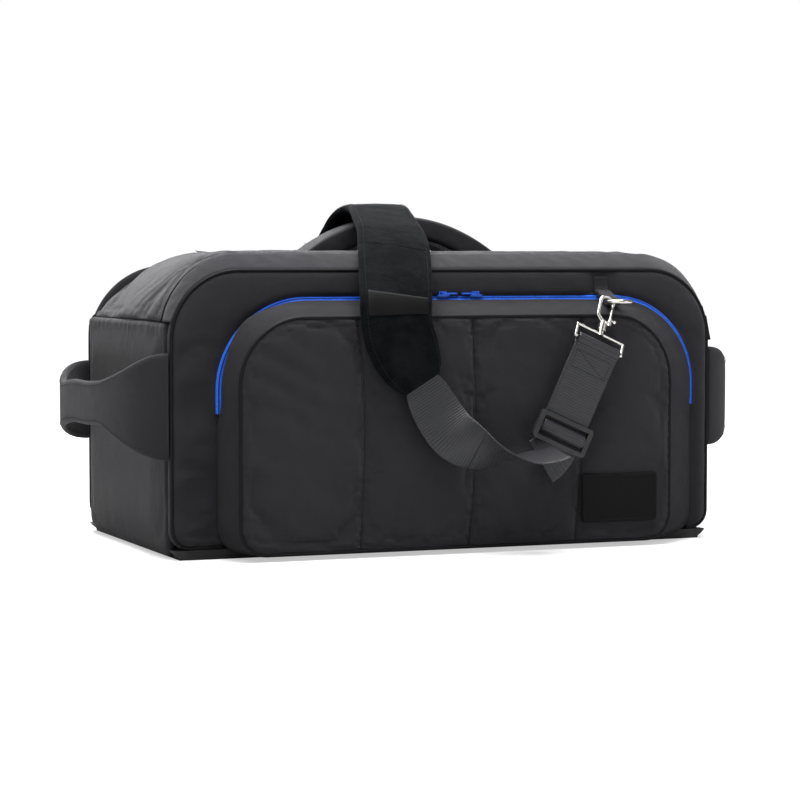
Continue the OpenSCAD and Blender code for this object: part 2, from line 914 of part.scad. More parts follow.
module snap_hook() {
    tip_z = eye_z - 2;
    color(nickel) difference() {
        union() {
            translate([0, 0, barrel_z0]) cylinder(r = barrel_r, h = barrel_z1 - barrel_z0);
            for (z = [4.4, 8.6]) translate([0, 0, z]) cylinder(r = barrel_r + 0.6, h = 1.3);
            translate([0, 0, barrel_z1 - tiny]) cylinder(r1 = barrel_r, r2 = 2.8, h = 3);
            translate([0, 0, barrel_z1]) cylinder(r = 2.6, h = 4);
            hull() {
                translate([0, 0, barrel_z1 + 2]) sphere(2.2, $fn = 20);
                translate([-eye_half, 0, eye_low]) sphere(eye_wire, $fn = 20);
            }
            hull() {
                translate([0, 0, barrel_z1 + 2]) sphere(2.2, $fn = 20);
                translate([eye_half - 1, 0, housing_z + 3]) sphere(2, $fn = 20);
            }
            translate([-eye_half, 0, eye_low]) cylinder(r = eye_wire, h = eye_z - eye_low);
            translate([0, 0, eye_z]) rotate([90, 0, 0]) rotate_extrude(angle = 180)
                translate([eye_half, 0]) circle(eye_wire, $fn = 24);
            translate([eye_half, 0, tip_z]) cylinder(r = eye_wire, h = eye_z - tip_z + tiny);
            translate([eye_half, 0, housing_z]) cylinder(r = housing_r, h = eye_low - housing_z);
        }
        translate([0, 0, barrel_z0 - 1]) cylinder(r = pin_r + run_gap, h = 5);
        translate([0, 0, head_z - 0.5]) cylinder(r = head_r + 0.3, h = post_top - head_z + 1);
        translate([eye_half, 0, housing_z + 1]) cylinder(r = bolt_r + run_gap, h = 20);
        translate([eye_half, -knob_t / 2 - 0.2, knob_z - bolt_travel - 0.3])
            cube([6, knob_t + 0.4, bolt_travel + 6]);
    }
}

// The bolt's foot stands its travel above the bottom of the guide bore
module snap_bolt() {
    foot_z = housing_z + 1 + bolt_travel + 0.1;
    color(nickel) union() {
        translate([eye_half, 0, foot_z])
            cylinder(r = bolt_r, h = eye_z - 2 - foot_z - run_gap, $fn = 24);
        translate([eye_half, -knob_t / 2, knob_z]) cube([5, knob_t, 1.6]);
        translate([eye_half + 3.4, 0, knob_z + 0.8]) rotate([0, 90, 0])
            cylinder(r = 2, h = 2.6, $fn = 24);
    }
}

module loop_front() { on_front_hook() strap_loop(); }
module hook_front() { on_front_hook() snap_hook(); }
module bolt_front() { on_front_hook() snap_bolt(); }
module loop_back() { on_back_hook() strap_loop(); }
module hook_back() { on_back_hook() snap_hook(); }
module bolt_back() { on_back_hook() snap_bolt(); }

// ---------- Hanging webbing and strap slider ----------

// Where a point of the tilted hook frame lies in the bag's frame
function turned(v, tilt, side) =
    let (y = v[1] * cos(tilt) + v[2] * sin(tilt), z = -v[1] * sin(tilt) + v[2] * cos(tilt))
    [v[0] * cos(side) + z * sin(side), y, -v[0] * sin(side) + z * cos(side)];

ring_side = [ring_x - ring_r, ring_y, ring_z];
loop_low = ring_side + turned([0, 0, -wire_z - loop_h], hook_tilt, lean);

module on_drop() {
    translate(loop_low) rotate([drop_tilt, lean, 0]) children();
}

glide_bar = 3;
glide_rail = 4.5;
glide_out = web_t + soft_gap + glide_t / 2;
tail_end = 12;

// Two layers of webbing, turned round the loop's bar above and laced over the slider's middle bar below
module webbing_drop() {
    hole_r = loop_wire + soft_gap;
    lace_in = glide_bar + soft_gap;
    lace_out = glide_out + glide_t / 2 + soft_gap;
    color(webbing) on_drop() rotate([0, 90, 0]) rotate([0, 0, 180])
        translate([0, 0, -web_w / 2]) linear_extrude(web_w) difference() {
            union() {
                circle(hole_r + web_t, $fn = 32);
                translate([-drop_l - tail_end, -web_t]) square([drop_l + tail_end - hole_r, 2 * web_t]);
                translate([-drop_l - lace_in - web_t, 0]) difference() {
                    square([2 * (lace_in + web_t), lace_out + web_t]);
                    translate([web_t, web_t]) square([2 * lace_in, lace_out - web_t]);
                }
            }
            circle(hole_r, $fn = 32);
        }
}

// The slider lies in front of the webbing, with a slot above and below its middle bar
module strap_slider() {
    slot_h = glide_h / 2 - glide_rail - glide_bar;
    color(plastic) on_drop() translate([0, -glide_out + glide_t / 2, -drop_l]) rotate([90, 0, 0])
        linear_extrude(glide_t) difference() {
            union() {
                square([glide_w - 8, glide_h], center = true);
                square([glide_w, glide_h - 8], center = true);
                for (sx = [-1, 1], sz = [-1, 1])
                    translate([sx * (glide_w / 2 - 4), sz * (glide_h / 2 - 4)]) circle(4);
            }
            for (s = [-1, 1])
                translate([-(web_w + 2) / 2, s * (glide_bar + slot_h / 2) - slot_h / 2])
                    square([web_w + 2, slot_h]);
        }
}

glide_at = loop_low + turned([0, 0, -drop_l], -drop_tilt, lean);
across_drop = turned([1, 0, 0], 0, lean);

// The free end of the webbing, below the strap slider
tail_top = loop_low + turned([0, 0, -drop_l - tail_end - soft_gap - plate_t], -drop_tilt, lean);
tail_bend = tail_top + turned([0, 0, -8], -drop_tilt, lean);
TAIL = [[tail_top, across_drop, web_w - 1],
        [tail_bend, across_drop, web_w - 1],
        [tail_bend + [-6, 0.6, -6], [0.88, -0.08, -0.45], web_w - 1],
        [tail_bend + [-13, 1, -10], [0.84, -0.14, -0.5], web_w - 1]];

module webbing_tail() {
    color(webbing) strap(TAIL, web_t);
}

// The loose run from the shoulder pad's end towards the strap slider
pad_low = [-54, -207.5, 170];
pad_way = unit([6, 0.5, -10]);
FRONT_RUN = [[pad_low + pad_way * (soft_gap + plate_t), [0.97, 0, 0.22], web_w - 14],
             [pad_low + pad_way * 9, [0.97, 0, 0.22], web_w - 5],
             [[-39, -208, 144], [0.9, -0.05, 0.42], web_w],
             [[-24, -214, 121], [0.78, -0.22, 0.58], web_w],
             [[-2, -222, 105], [0.5, -0.66, 0.56], web_w],
             [[24, -230, 97], [0.16, -0.95, 0.26], web_w],
             [[48, -233, 96], [0.12, -0.98, -0.1], web_w],
             [[68, -234, 98], [0.16, -0.97, -0.16], web_w - 2],
             [[84, -233, 102], [0.22, -0.95, -0.18], web_w - 8]];

module webbing_front() {
    color(webbing) strap(FRONT_RUN, web_t);
}

// ---------- Shoulder pad ----------

pad_end = [-61, 84, 304.8];
// Where a point that hangs from the crown or lies on it goes when the bag is taller or lower than crown_ref
crown_ref = 298;
function on_crown(p) = p + [0, 0, (body_h - crown_ref) * min(max((p[2] - 170) / (256 - 170), 0), 1)];

PAD_RUN = [[pad_low, [0.97, 0, 0.22], 0.56],
           [[-60, -208, 180], [0.97, 0, 0.2], 0.78],
           [[-69, -208, 197], [0.99, 0, 0.1], 0.94],
           [[-78, -208, 218], [1, 0, 0], 1],
           [[-81, -206.5, 238], [1, -0.02, 0], 1],
           [[-79, -201, 256], [0.99, -0.06, -0.06], 1],
           [[-72, -181, 279], [0.96, -0.2, -0.15], 1],
           [[-62, -153, 301], [0.95, -0.24, -0.14], 1],
           [[-52, -122, 318], [0.95, -0.25, -0.13], 0.97],
           [[-42, -80, 331], [0.96, -0.24, -0.08], 0.92],
           [[-32, -40, 341.5], [0.97, -0.18, -0.05], 0.88],
           [[-26, -18, 345], [0.96, -0.05, 0], 0.86],
           [[-24, 4, 345.6], [0.95, 0.15, 0], 0.86],
           [[-28, 22, 344], [0.95, 0.3, 0], 0.88],
           [[-34, 33, 337.5], [0.94, 0.33, 0.06], 0.9],
           [[-38, 43, 326], [0.93, 0.33, 0.1], 0.92],
           [[-42, 53, 315], [0.92, 0.36, 0.1], 0.92],
           [[-48, 64, 307.5], [0.88, 0.46, 0.04], 0.9],
           [[-56, 76, 305.2], [0.84, 0.54, 0], 0.8],
           [pad_end, [0.82, 0.57, 0], 0.6]];

module strap_pad() {
    color(velour) strap([for (s = PAD_RUN) [on_crown(s[0]), s[1], s[2] * pad_w]], pad_t);
}

// The patch lies on the pad between two of its stations, at the pad's slope there
module pad_patch() {
    low = on_crown(PAD_RUN[4][0]);
    high = on_crown(PAD_RUN[5][0]);
    middle = (low + high) / 2;
    slope = atan2(high[1] - low[1], high[2] - low[2]);
    color(plastic) translate(middle) rotate([-slope, 0, 0])
        translate([-pad_patch_w / 2, -pad_t / 2 - pad_patch_t - 2, -pad_patch_h / 2])
            cube([pad_patch_w, pad_patch_t, pad_patch_h]);
}

// The run from the pad's back end over the bag's back edge to the back hook
loop_back_low = [ring_back_x + ring_r, ring_back_y, ring_back_z]
    + turned([0, 0, -wire_z - loop_h], back_tilt, 180 + back_lean);
back_over = on_crown([-147, 163.4, 300]);
back_up = turned([0, 0, -1], back_tilt, 180 + back_lean);
back_across = turned([-1, 0, 0], back_tilt, 180 + back_lean);
back_way = unit([-5, 8, -0.6]);
back_start = on_crown(pad_end);
BACK_RUN = [[back_start + back_way * (2 * soft_gap + plate_t), [0.82, 0.57, 0], web_w - 14],
            [back_start + back_way * 9, [0.82, 0.57, 0], web_w - 5],
            [on_crown([-80, 105, 301]), [0.8, 0.6, 0], web_w],
            [on_crown([-107, 125, 300.6]), [0.6, 0.8, 0], web_w],
            [on_crown([-131, 141, 301.8]), [0.75, 0.66, 0], web_w],
            [on_crown([-144, 154.5, 302.6]), [1, 0.25, 0], web_w],
            [back_over, [0.99, 0.05, -0.139], web_w],
            [loop_back_low + back_up * 9, back_across, web_w],
            [loop_back_low + back_up * (loop_wire + soft_gap + plate_t), back_across, web_w]];

module webbing_back() {
    color(webbing) strap(BACK_RUN, web_t);
}

// ---------- Padded dividers inside ----------

divider_z = base_t + board_t + lining_t + soft_gap;

module divider(x) {
    y0 = front_in_y + lining_t + 2 * soft_gap + 0.2;
    y1 = back_in_y - lining_t - 2 * soft_gap - 0.2;
    color(liner) translate([x - divider_t / 2, y0, divider_z]) cube([divider_t, y1 - y0, divider_h]);
}

module divider_left() { divider(-divider_x); }
module divider_right() { divider(divider_x); }

base_tray();
base_board();
front_panel();
back_panel();
side_panel_left();
side_panel_right();
front_rim();
lining();
front_piping();
back_piping();
lid_zip_lower();
lid_panel();
lid_zip_upper();
top_handle();
top_handle_grip();
handle_patches();
side_handle_left();
side_handle_right();
pocket_face_lower();
pocket_gusset_lower();
pocket_piping_lower();
pocket_face_upper();
pocket_gusset_upper();
pocket_piping_upper();
pocket_zip_bag();
pocket_zip_flap();
pocket_patch();
pocket_organizer();
pocket_slider_left();
pocket_pull_left();
pocket_slider_right();
pocket_pull_right();
main_slider();
main_pull();
tab_front_sewn();
tab_front();
ring_front();
loop_front();
hook_front();
bolt_front();
webbing_drop();
webbing_tail();
strap_slider();
webbing_front();
strap_pad();
pad_patch();
webbing_back();
tab_back_sewn();
tab_back();
ring_back();
loop_back();
hook_back();
bolt_back();
divider_left();
divider_right();
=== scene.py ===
import json
import math

import bmesh
import bpy
import numpy as np
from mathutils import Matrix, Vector

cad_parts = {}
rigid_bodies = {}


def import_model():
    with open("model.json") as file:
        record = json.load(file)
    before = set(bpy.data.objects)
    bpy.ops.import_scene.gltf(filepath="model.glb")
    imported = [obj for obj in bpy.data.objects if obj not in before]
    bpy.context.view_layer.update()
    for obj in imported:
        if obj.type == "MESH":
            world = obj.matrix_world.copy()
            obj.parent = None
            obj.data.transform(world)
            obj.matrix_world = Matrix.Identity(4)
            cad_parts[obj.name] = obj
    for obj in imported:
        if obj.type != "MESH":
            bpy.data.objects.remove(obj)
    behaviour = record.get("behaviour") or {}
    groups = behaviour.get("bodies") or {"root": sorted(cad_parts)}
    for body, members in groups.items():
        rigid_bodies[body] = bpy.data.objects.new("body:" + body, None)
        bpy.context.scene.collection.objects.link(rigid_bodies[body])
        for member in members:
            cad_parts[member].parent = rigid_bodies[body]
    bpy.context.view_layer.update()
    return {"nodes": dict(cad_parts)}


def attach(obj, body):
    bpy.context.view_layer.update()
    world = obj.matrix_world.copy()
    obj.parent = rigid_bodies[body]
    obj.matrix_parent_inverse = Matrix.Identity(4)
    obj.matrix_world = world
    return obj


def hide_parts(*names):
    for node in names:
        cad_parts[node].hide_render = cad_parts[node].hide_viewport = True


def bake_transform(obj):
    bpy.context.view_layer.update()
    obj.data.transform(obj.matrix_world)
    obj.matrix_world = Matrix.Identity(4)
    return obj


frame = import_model()

bl_info = {
    "name": "Camera Shoulder Bag",
    "version": (1, 0, 0),
    "blender": (4, 5, 0),
    "location": "View3D > Sidebar > Bag",
    "description": "Cloth, webbing, zips and metal of a padded camera shoulder bag",
    "category": "Add Mesh",
}

# ---------------------------------------------------------------- places, in millimetres

# Outer faces of the front panel and of the pocket, and front face of the padded back
FRONT_Y, FACE_Y, BACK_Y = -150.0, -196.0, 148.0
# The lid's hinge, and the radii about it of the lid's front edge and of the rim that it meets
HINGE_Y, HINGE_Z = 147.0, 298.0
LID_R, RIM_R = 277.0, 278.0
# Levels where the sides meet the lid, and where the pocket's zip ends
SEAM_Z, FOLD_Z = 232.0, 142.0
# Rounded outlines seen from the front: width, middle, low, top, upper radius, lower radius
BODY = (590.0, 0.0, 0.0, 298.0, 75.0, 20.0)
FRONT = (590.0, 0.0, 10.0, 284.0, 71.0, 20.0)
BACK = (586.0, 0.0, 12.0, 287.0, 86.0, 20.0)
ZIP = (519.0, 13.5, 5.0, 254.0, 90.0, 26.0)
FACE = (463.0, -5.5, 7.0, 236.0, 66.0, 26.0)
PATCH = (85.0, 167.5, 26.0, 76.0, 4.0, 4.0)
ORGANISER = (300.0, 13.5, 10.3, 130.3, 6.0, 3.0)
# The same, seen from the side
SIDE = (285.4, 5.0, 1.6, SEAM_Z - 0.3, 6.0, 20.0)
DIVIDER = (271.0, 0.0, 14.4, 204.0, 10.0, 5.0)
# Height of the corners where lid and sides meet
CORNER_Z = SEAM_Z + 0.4
# The front ring's tab on the front panel
RING_X, RING_TAB_Z = 168.0, 262.0
WEB_W = 50.0
SIDES = ((-1, "left"), (1, "right"))


# ---------------------------------------------------------------- curves and mesh tools

def smooth_step(x):
    x = np.clip(x, 0, 1)
    return x * x * (3 - 2 * x)


def bell(x, middle, width, power=2):
    """1 at its middle and 0 well outside its width. A higher power makes its top flatter."""
    return np.exp(-((x - middle) / width) ** power)


def swell(distance, reach):
    """A quarter of a sine wave: 0 at the edge and 1 from its reach on."""
    return np.sin(np.clip(distance / reach, 0, 1) * math.pi / 2)


def rounding(distance, radius, least=0.0):
    """Fullness of a piece beside its rounded edge: 0 at the edge and 1 from the radius on."""
    return np.sqrt(1 - (1 - np.clip(distance / radius, least, 1)) ** 2)


def plain_name(name):
    return name.replace(" ", "_").lower()


def add_object(name, data):
    thing = bpy.data.objects.new(name, data)
    bpy.context.scene.collection.objects.link(thing)
    return thing


def ripples(a, b, seed, count=7, shortest=18.0, longest=90.0):
    """Soft creases: a sum of plane waves, about -1 to 1."""
    rng = np.random.RandomState(seed)
    total = np.zeros(np.broadcast(a, b).shape)
    weight = 0.0
    for _ in range(count):
        wave = shortest * (longest / shortest) ** rng.rand()
        turn = rng.rand() * 2 * math.pi
        size = wave / longest
        total = total + size * np.sin(2 * math.pi * (a * math.cos(turn) + b * math.sin(turn)) / wave
                                      + rng.rand() * 6.28)
        weight += size * 0.7
    return total / weight


def new_piece(name, points, faces, uv=None):
    """A mesh object from points in millimetres."""
    name = plain_name(name)
    mesh = bpy.data.meshes.new(name)
    mesh.from_pydata((np.asarray(points, float).reshape(-1, 3) / 1000).tolist(), [], faces)
    if uv is not None:
        layer = mesh.uv_layers.new(name="UVMap")
        corner = np.empty(len(mesh.loops), int)
        mesh.loops.foreach_get("vertex_index", corner)
        layer.data.foreach_set("uv", (np.asarray(uv, float).reshape(-1, 2)[corner] / 1000).ravel())
    return add_object(name, mesh)


def finish_mesh(piece):
    """Welds doubles, turns faces outwards and shades smooth."""
    weld, shortest_edge = 0.02 / 1000, 1e-6
    work = bmesh.new()
    work.from_mesh(piece.data)
    bmesh.ops.remove_doubles(work, verts=work.verts, dist=weld)
    bmesh.ops.dissolve_degenerate(work, edges=work.edges, dist=shortest_edge)
    bmesh.ops.recalc_face_normals(work, faces=work.faces)
    work.to_mesh(piece.data)
    work.free()
    piece.data.shade_smooth()
    return piece


def grid_faces(rows, cols, start=0, flip=False):
    faces = []
    for i in range(rows - 1):
        for j in range(cols - 1):
            a = start + i * cols + j
            quad = (a, a + 1, a + cols + 1, a + cols)
            faces.append(quad[::-1] if flip else quad)
    return faces


def arc_lengths(line):
    return np.concatenate([[0], np.cumsum(np.linalg.norm(np.diff(line, axis=0), axis=1))])


def grid_uv(grid):
    rows, cols = grid.shape[:2]
    u = arc_lengths(grid[rows // 2])
    v = arc_lengths(grid[:, cols // 2])
    return np.stack(np.meshgrid(u, v), -1)


def shell(name, outer, inner, uv=None):
    """A closed piece between two grids of points."""
    rows, cols = outer.shape[:2]
    count = rows * cols
    faces = grid_faces(rows, cols) + grid_faces(rows, cols, count, True)
    rim = [i * cols for i in range(rows)] + [(rows - 1) * cols + j for j in range(1, cols)]
    rim += [i * cols + cols - 1 for i in range(rows - 2, -1, -1)] + list(range(cols - 2, 0, -1))
    for a, b in zip(rim, rim[1:] + rim[:1]):
        faces.append((a, b, b + count, a + count))
    uv = grid_uv(outer) if uv is None else uv
    piece = new_piece(name, np.concatenate([outer.reshape(-1, 3), inner.reshape(-1, 3)]), faces,
                      np.concatenate([uv.reshape(-1, 2)] * 2))
    return finish_mesh(piece)


def smooth_line(points, count):
    """A Catmull-Rom line through points of any width, evenly spaced by its first three columns."""
    p = np.asarray(points, float)
    p = np.vstack([2 * p[0] - p[1], p, 2 * p[-1] - p[-2]])
    fine = []
    for i in range(1, len(p) - 2):
        t = np.linspace(0, 1, 24, endpoint=False)[:, None]
        a, b, c, d = p[i - 1], p[i], p[i + 1], p[i + 2]
        fine.append(0.5 * (2 * b + (c - a) * t + (2 * a - 5 * b + 4 * c - d) * t ** 2
                           + (3 * b - a - 3 * c + d) * t ** 3))
    fine = np.vstack(fine + [p[-2][None]])
    along = arc_lengths(fine[:, :3])
    want = np.linspace(0, along[-1], count)
    return np.stack([np.interp(want, along, fine[:, k]) for k in range(fine.shape[1])], 1)


def unit_rows(v):
    return v / np.maximum(np.linalg.norm(v, axis=-1, keepdims=True), 1e-9)


def flat_profile(edge, across=9):
    """A webbing section: flat faces and rounded selvedges, in -1..1."""
    top = [(x, 1.0) for x in np.linspace(1 - edge, -1 + edge, across)]
    left = [(-1 + edge * 0.25, 0.75), (-1, 0), (-1 + edge * 0.25, -0.75)]
    low = [(x, -1.0) for x in np.linspace(-1 + edge, 1 - edge, across)]
    right = [(1 - edge * 0.25, -0.75), (1, 0), (1 - edge * 0.25, 0.75)]
    return np.array(top + left + low + right)


def oblong(turn, power_a, power_b):
    """A circle pressed towards a square, in -1..1: the lower its powers, the flatter its sides."""
    a, b = np.cos(turn), np.sin(turn)
    return [np.sign(a) * np.abs(a) ** power_a, np.sign(b) * np.abs(b) ** power_b]


def pad_profile(flatness, count):
    """A padded section: a rounded oblong, in -1..1."""
    return np.stack(oblong(np.linspace(0, 2 * math.pi, count, endpoint=False), flatness, 0.8), 1)


def end_caps(n, m):
    """The two end faces of n rings of m points, each ring closed by a point that repeats its first."""
    return [tuple(range(m)), tuple((n - 1) * (m + 1) + k for k in range(m))[::-1]]


def sweep(name, path, across, width, thick, profile, bump=None):
    """A closed band along a path: the section's first axis is across, its second the face normal."""
    n, m = len(path), len(profile)
    way = unit_rows(np.gradient(path, axis=0))
    across = unit_rows(across - way * np.sum(across * way, 1, keepdims=True))
    out = np.cross(way, across)
    width = np.broadcast_to(width, (n,))[:, None, None]
    thick = np.broadcast_to(thick, (n,))[:, None, None]
    ring = np.vstack([profile, profile[:1]])
    px, pz = ring[None, :, :1], ring[None, :, 1:]
    if bump is not None:
        pz = pz * (1 + bump(np.arange(n)[:, None], ring[None, :, 0])[..., None])
    points = path[:, None] + across[:, None] * px * width / 2 + out[:, None] * pz * thick / 2
    along = arc_lengths(path)
    uv = np.stack([np.broadcast_to(along[:, None], (n, m + 1)), (px * width / 2)[..., 0]], -1)
    faces = grid_faces(n, m + 1) + end_caps(n, m)
    piece = finish_mesh(new_piece(name, points, faces, uv))
    for polygon in piece.data.polygons:
        if len(polygon.vertices) > 6:
            polygon.use_smooth = False
    return piece


def ring_stack(name, rings, closed=False, uv=None):
    """Rings of points joined into one closed piece: capped at both ends, or joined end to end."""
    rings = np.asarray(rings, float)
    n, m = rings.shape[:2]
    full = np.concatenate([rings, rings[:, :1]], 1)
    if uv is None:
        u = arc_lengths(full[0])
        v = arc_lengths(full[:, 0])
        uv = np.stack(np.meshgrid(u, v), -1)
    if closed:
        full = np.concatenate([full, full[:1]])
        uv = np.concatenate([uv, uv[-1:]])
    faces = grid_faces(len(full), m + 1)
    if not closed:
        faces += end_caps(n, m)
    return finish_mesh(new_piece(name, full, faces, uv))


def tube(name, path, radius, closed=False, sides=10):
    """A round cord along a path."""
    path = np.asarray(path, float)
    if closed:
        way = unit_rows(np.roll(path, -1, 0) - np.roll(path, 1, 0))
    else:
        way = unit_rows(np.gradient(path, axis=0))
    normal = np.cross(way[0], (0.31, 0.83, 0.47))
    normals = []
    for step in way:
        normal = normal - step * normal.dot(step)
        normal = normal / np.linalg.norm(normal)
        normals.append(normal)
    normals = np.array(normals)
    side = np.cross(way, normals)
    turn = np.linspace(0, 2 * math.pi, sides, endpoint=False)
    rings = path[:, None] + radius * (normals[:, None] * np.cos(turn)[None, :, None]
                                      + side[:, None] * np.sin(turn)[None, :, None])
    u = arc_lengths(path)[:, None] + np.zeros(sides + 1)
    v = np.zeros((len(path), 1)) + np.linspace(0, 2 * math.pi * radius, sides + 1)
    return ring_stack(name, rings, closed, np.stack([u, v], -1))


# ---------------------------------------------------------------- outlines

def half_width(shape, z):
    w, _, low, top, r_top, r_low = shape
    up = np.clip(z - (top - r_top), 0, r_top)
    down = np.clip((low + r_low) - z, 0, r_low)
    return w / 2 - (r_top - np.sqrt(r_top ** 2 - up ** 2)) - (r_low - np.sqrt(r_low ** 2 - down ** 2))


def inside(shape, x, z):
    """Distance inwards from a rounded outline, negative outside it."""
    w, mid, low, top, r_top, r_low = shape
    high = z > (low + top) / 2
    r = np.where(high, r_top, r_low)
    dx = np.abs(x - mid) - (w / 2 - r)
    dz = np.where(high, z - (top - r), (low + r) - z)
    out = np.hypot(np.maximum(dx, 0), np.maximum(dz, 0))
    return r - out - np.minimum(np.maximum(dx, dz), 0)


def arch_points(shape, base, counts=(16, 30, 90), inset=0.0):
    """Up the left side from a level, over the top and down the right side: points and outward normals."""
    w, mid, _, top, r, _ = shape
    hw, top, r = w / 2 - inset, top - inset, max(r - inset, 1)
    low = top - r
    begin = math.asin(min(max((base - low) / r, 0), 1))
    left, turn = [], []
    if base < low:
        for t in np.linspace(0, 1, counts[0], endpoint=False):
            left.append((-hw, base + t * (low - base)))
            turn.append((-1, 0))
    for t in np.linspace(begin, math.pi / 2, counts[1], endpoint=False):
        left.append((-hw + r - r * math.cos(t), low + r * math.sin(t)))
        turn.append((-math.cos(t), math.sin(t)))
    for t in np.linspace(0, 1, counts[2] // 2, endpoint=False):
        left.append((-hw + r + t * (hw - r), top))
        turn.append((0, 1))
    left, turn = np.array(left), np.array(turn)
    mirror = np.array([-1, 1])
    points = np.vstack([left, [(0, top)], left[::-1] * mirror]) + np.array([mid, 0])
    return points, np.vstack([turn, [(0, 1)], turn[::-1] * mirror])


def loop_points(shape, counts=(30, 24, 90, 10, 90), inset=0.0):
    """The whole outline, clockwise seen from the front from the foot of its left side: points and normals."""
    w, mid, low, _, _, r_low = shape
    upper, normals = arch_points(shape, low + r_low, counts[:3], inset)
    half, r = w / 2 - inset, r_low - inset
    points, more = [], []
    for t in np.linspace(0, math.pi / 2, counts[3], endpoint=False)[1:]:
        points.append((half - r + r * math.cos(t), low + r_low - r * math.sin(t)))
        more.append((math.cos(t), -math.sin(t)))
    for t in np.linspace(1, -1, counts[4], endpoint=False):
        points.append((t * (half - r), low + inset))
        more.append((0, -1))
    for t in np.linspace(math.pi / 2, 0, counts[3], endpoint=False):
        points.append((-half + r - r * math.cos(t), low + r_low - r * math.sin(t)))
        more.append((-math.cos(t), -math.sin(t)))
    return np.vstack([upper, np.array(points) + np.array([mid, 0])]), np.vstack([normals, more])


def panel_grid(shape, step=3.0, extra=(), sides=14, rows=80):
    """Rows and columns that fill a rounded outline: x, z and the distance from the edge."""
    w, mid, low, top, r_top, r_low = shape
    core = w / 2 - max(r_top, r_low)
    inner = np.arange(-core, core + 0.01, step)
    seams = np.array([s - mid + k for s in extra for k in (-4, -2.6, -1.6, -0.8, 0, 0.8, 1.6, 2.6, 4)])
    inner = np.unique(np.round(np.concatenate([inner, seams, [-core, core]]), 2))
    inner = inner[(inner >= -core) & (inner <= core)]
    t = np.linspace(0, 1, rows)
    t = 0.35 * t + 0.65 * (0.5 - 0.5 * np.cos(math.pi * t))
    z = low + (top - low) * t
    hw = half_width(shape, z)
    s = np.linspace(0, 1, sides + 1)[1:]
    s = 1 - (1 - s) ** 1.5
    right = core + s[None] * np.maximum(hw - core, 0)[:, None]
    x = np.concatenate([-right[:, ::-1], np.broadcast_to(inner, (rows, len(inner))), right], 1) + mid
    z = np.broadcast_to(z[:, None], x.shape)
    depth = np.maximum(inside(shape, x, z), 0)
    depth[0], depth[-1], depth[:, 0], depth[:, -1] = 0, 0, 0, 0
    return x, z, depth


def back_arch(inset=0.0):
    """The lid's outline at its back edge, up its left side and over: a slant, a wide corner and the crown."""
    radius = 130.0
    corner = np.array([-BODY[0] / 2 + radius, HINGE_Z - radius])
    foot = np.array([-290 + inset, SEAM_Z])
    r = radius - inset
    away = foot - corner
    reach = np.linalg.norm(away)
    lean = math.atan2(away[1], away[0]) % (2 * math.pi)
    touch = lean - math.acos(min(r / reach, 1))
    left = [foot + (corner + r * np.array([math.cos(touch), math.sin(touch)]) - foot) * t
            for t in np.linspace(0, 1, 16, endpoint=False)]
    left += [corner + r * np.array([math.cos(t), math.sin(t)]) for t in np.linspace(touch, math.pi / 2, 60)]
    left += [np.array([x, HINGE_Z - inset]) for x in np.linspace(corner[0], 0, 60)[1:]]
    left = np.array(left)
    return np.vstack([left, left[-2::-1] * [-1, 1]])


def at_shares(line, shares):
    """Points of a line at shares of its length."""
    along = arc_lengths(line)
    want = np.asarray(shares) * along[-1]
    return np.stack([np.interp(want, along, column) for column in line.T], 1)


def outward(line):
    """Outward normals of an arch that runs from its left foot over the top."""
    way = unit_rows(np.gradient(line, axis=0))
    return np.stack([-way[:, 1], way[:, 0]], 1)


def hinge_arc(radius, z):
    """Places in y, towards the front, of points on an arc about the lid's hinge."""
    return HINGE_Y - np.sqrt(radius ** 2 - (HINGE_Z - z) ** 2)


def at_level(line, y):
    """A flat line or direction as seen from the front, set in space at a level in y."""
    return np.stack([line[:, 0], line[:, 0] * 0 + y, line[:, 1]], 1)


def beside(line, turn, out, y):
    """A line at a level in y, moved outwards from a flat one."""
    return at_level(line + turn * out, y)


def dense_line(corners):
    """Twelve points along each straight stretch between corners."""
    share = np.linspace(0, 1, 12)[:, None]
    return np.vstack([p + (q - p) * share for p, q in zip(corners, corners[1:])])


def flat(level):
    """The face of a panel that stays at one level."""
    return lambda a, b, depth: a * 0 + level


def upright(a, n, b):
    return np.stack([a, n, b], -1)


def sideways(a, n, b):
    return np.stack([n, a, b], -1)


def panel(name, shape, front, back, edge, place=upright, seams=(), **grid):
    """A padded panel: an outline in a and b, from front(a, b, depth) to back(a, b, depth), round at its edge.
    seams are functions a(b) that the columns follow."""
    x, z, depth = panel_grid(shape, extra=[s(z_mid(shape)) for s in seams], **grid)
    if seams:
        core = shape[0] / 2 - max(shape[4:])
        ends = [shape[1] - core, shape[1] + core]
        known = [ends[0]] + [s(z_mid(shape)) for s in seams] + [ends[1]]
        for row in range(len(x)):
            here = [ends[0]] + [s(z[row, 0]) for s in seams] + [ends[1]]
            within = (x[row] > ends[0]) & (x[row] < ends[1])
            x[row, within] = np.interp(x[row, within], known, here)
        rim = depth <= 0
        depth = np.where(rim, 0, np.maximum(inside(shape, x, z), 0))
    y0, y1 = front(x, z, depth), back(x, z, depth)
    middle = (y0 + y1) / 2
    full = rounding(depth, edge)
    outer = place(x, middle + (y0 - middle) * full, z)
    inner = place(x, middle + (y1 - middle) * full, z)
    return shell(name, outer, inner, np.stack([x, z], -1))


def z_mid(shape):
    return (shape[2] + shape[3]) / 2


# ---------------------------------------------------------------- cloth simulation

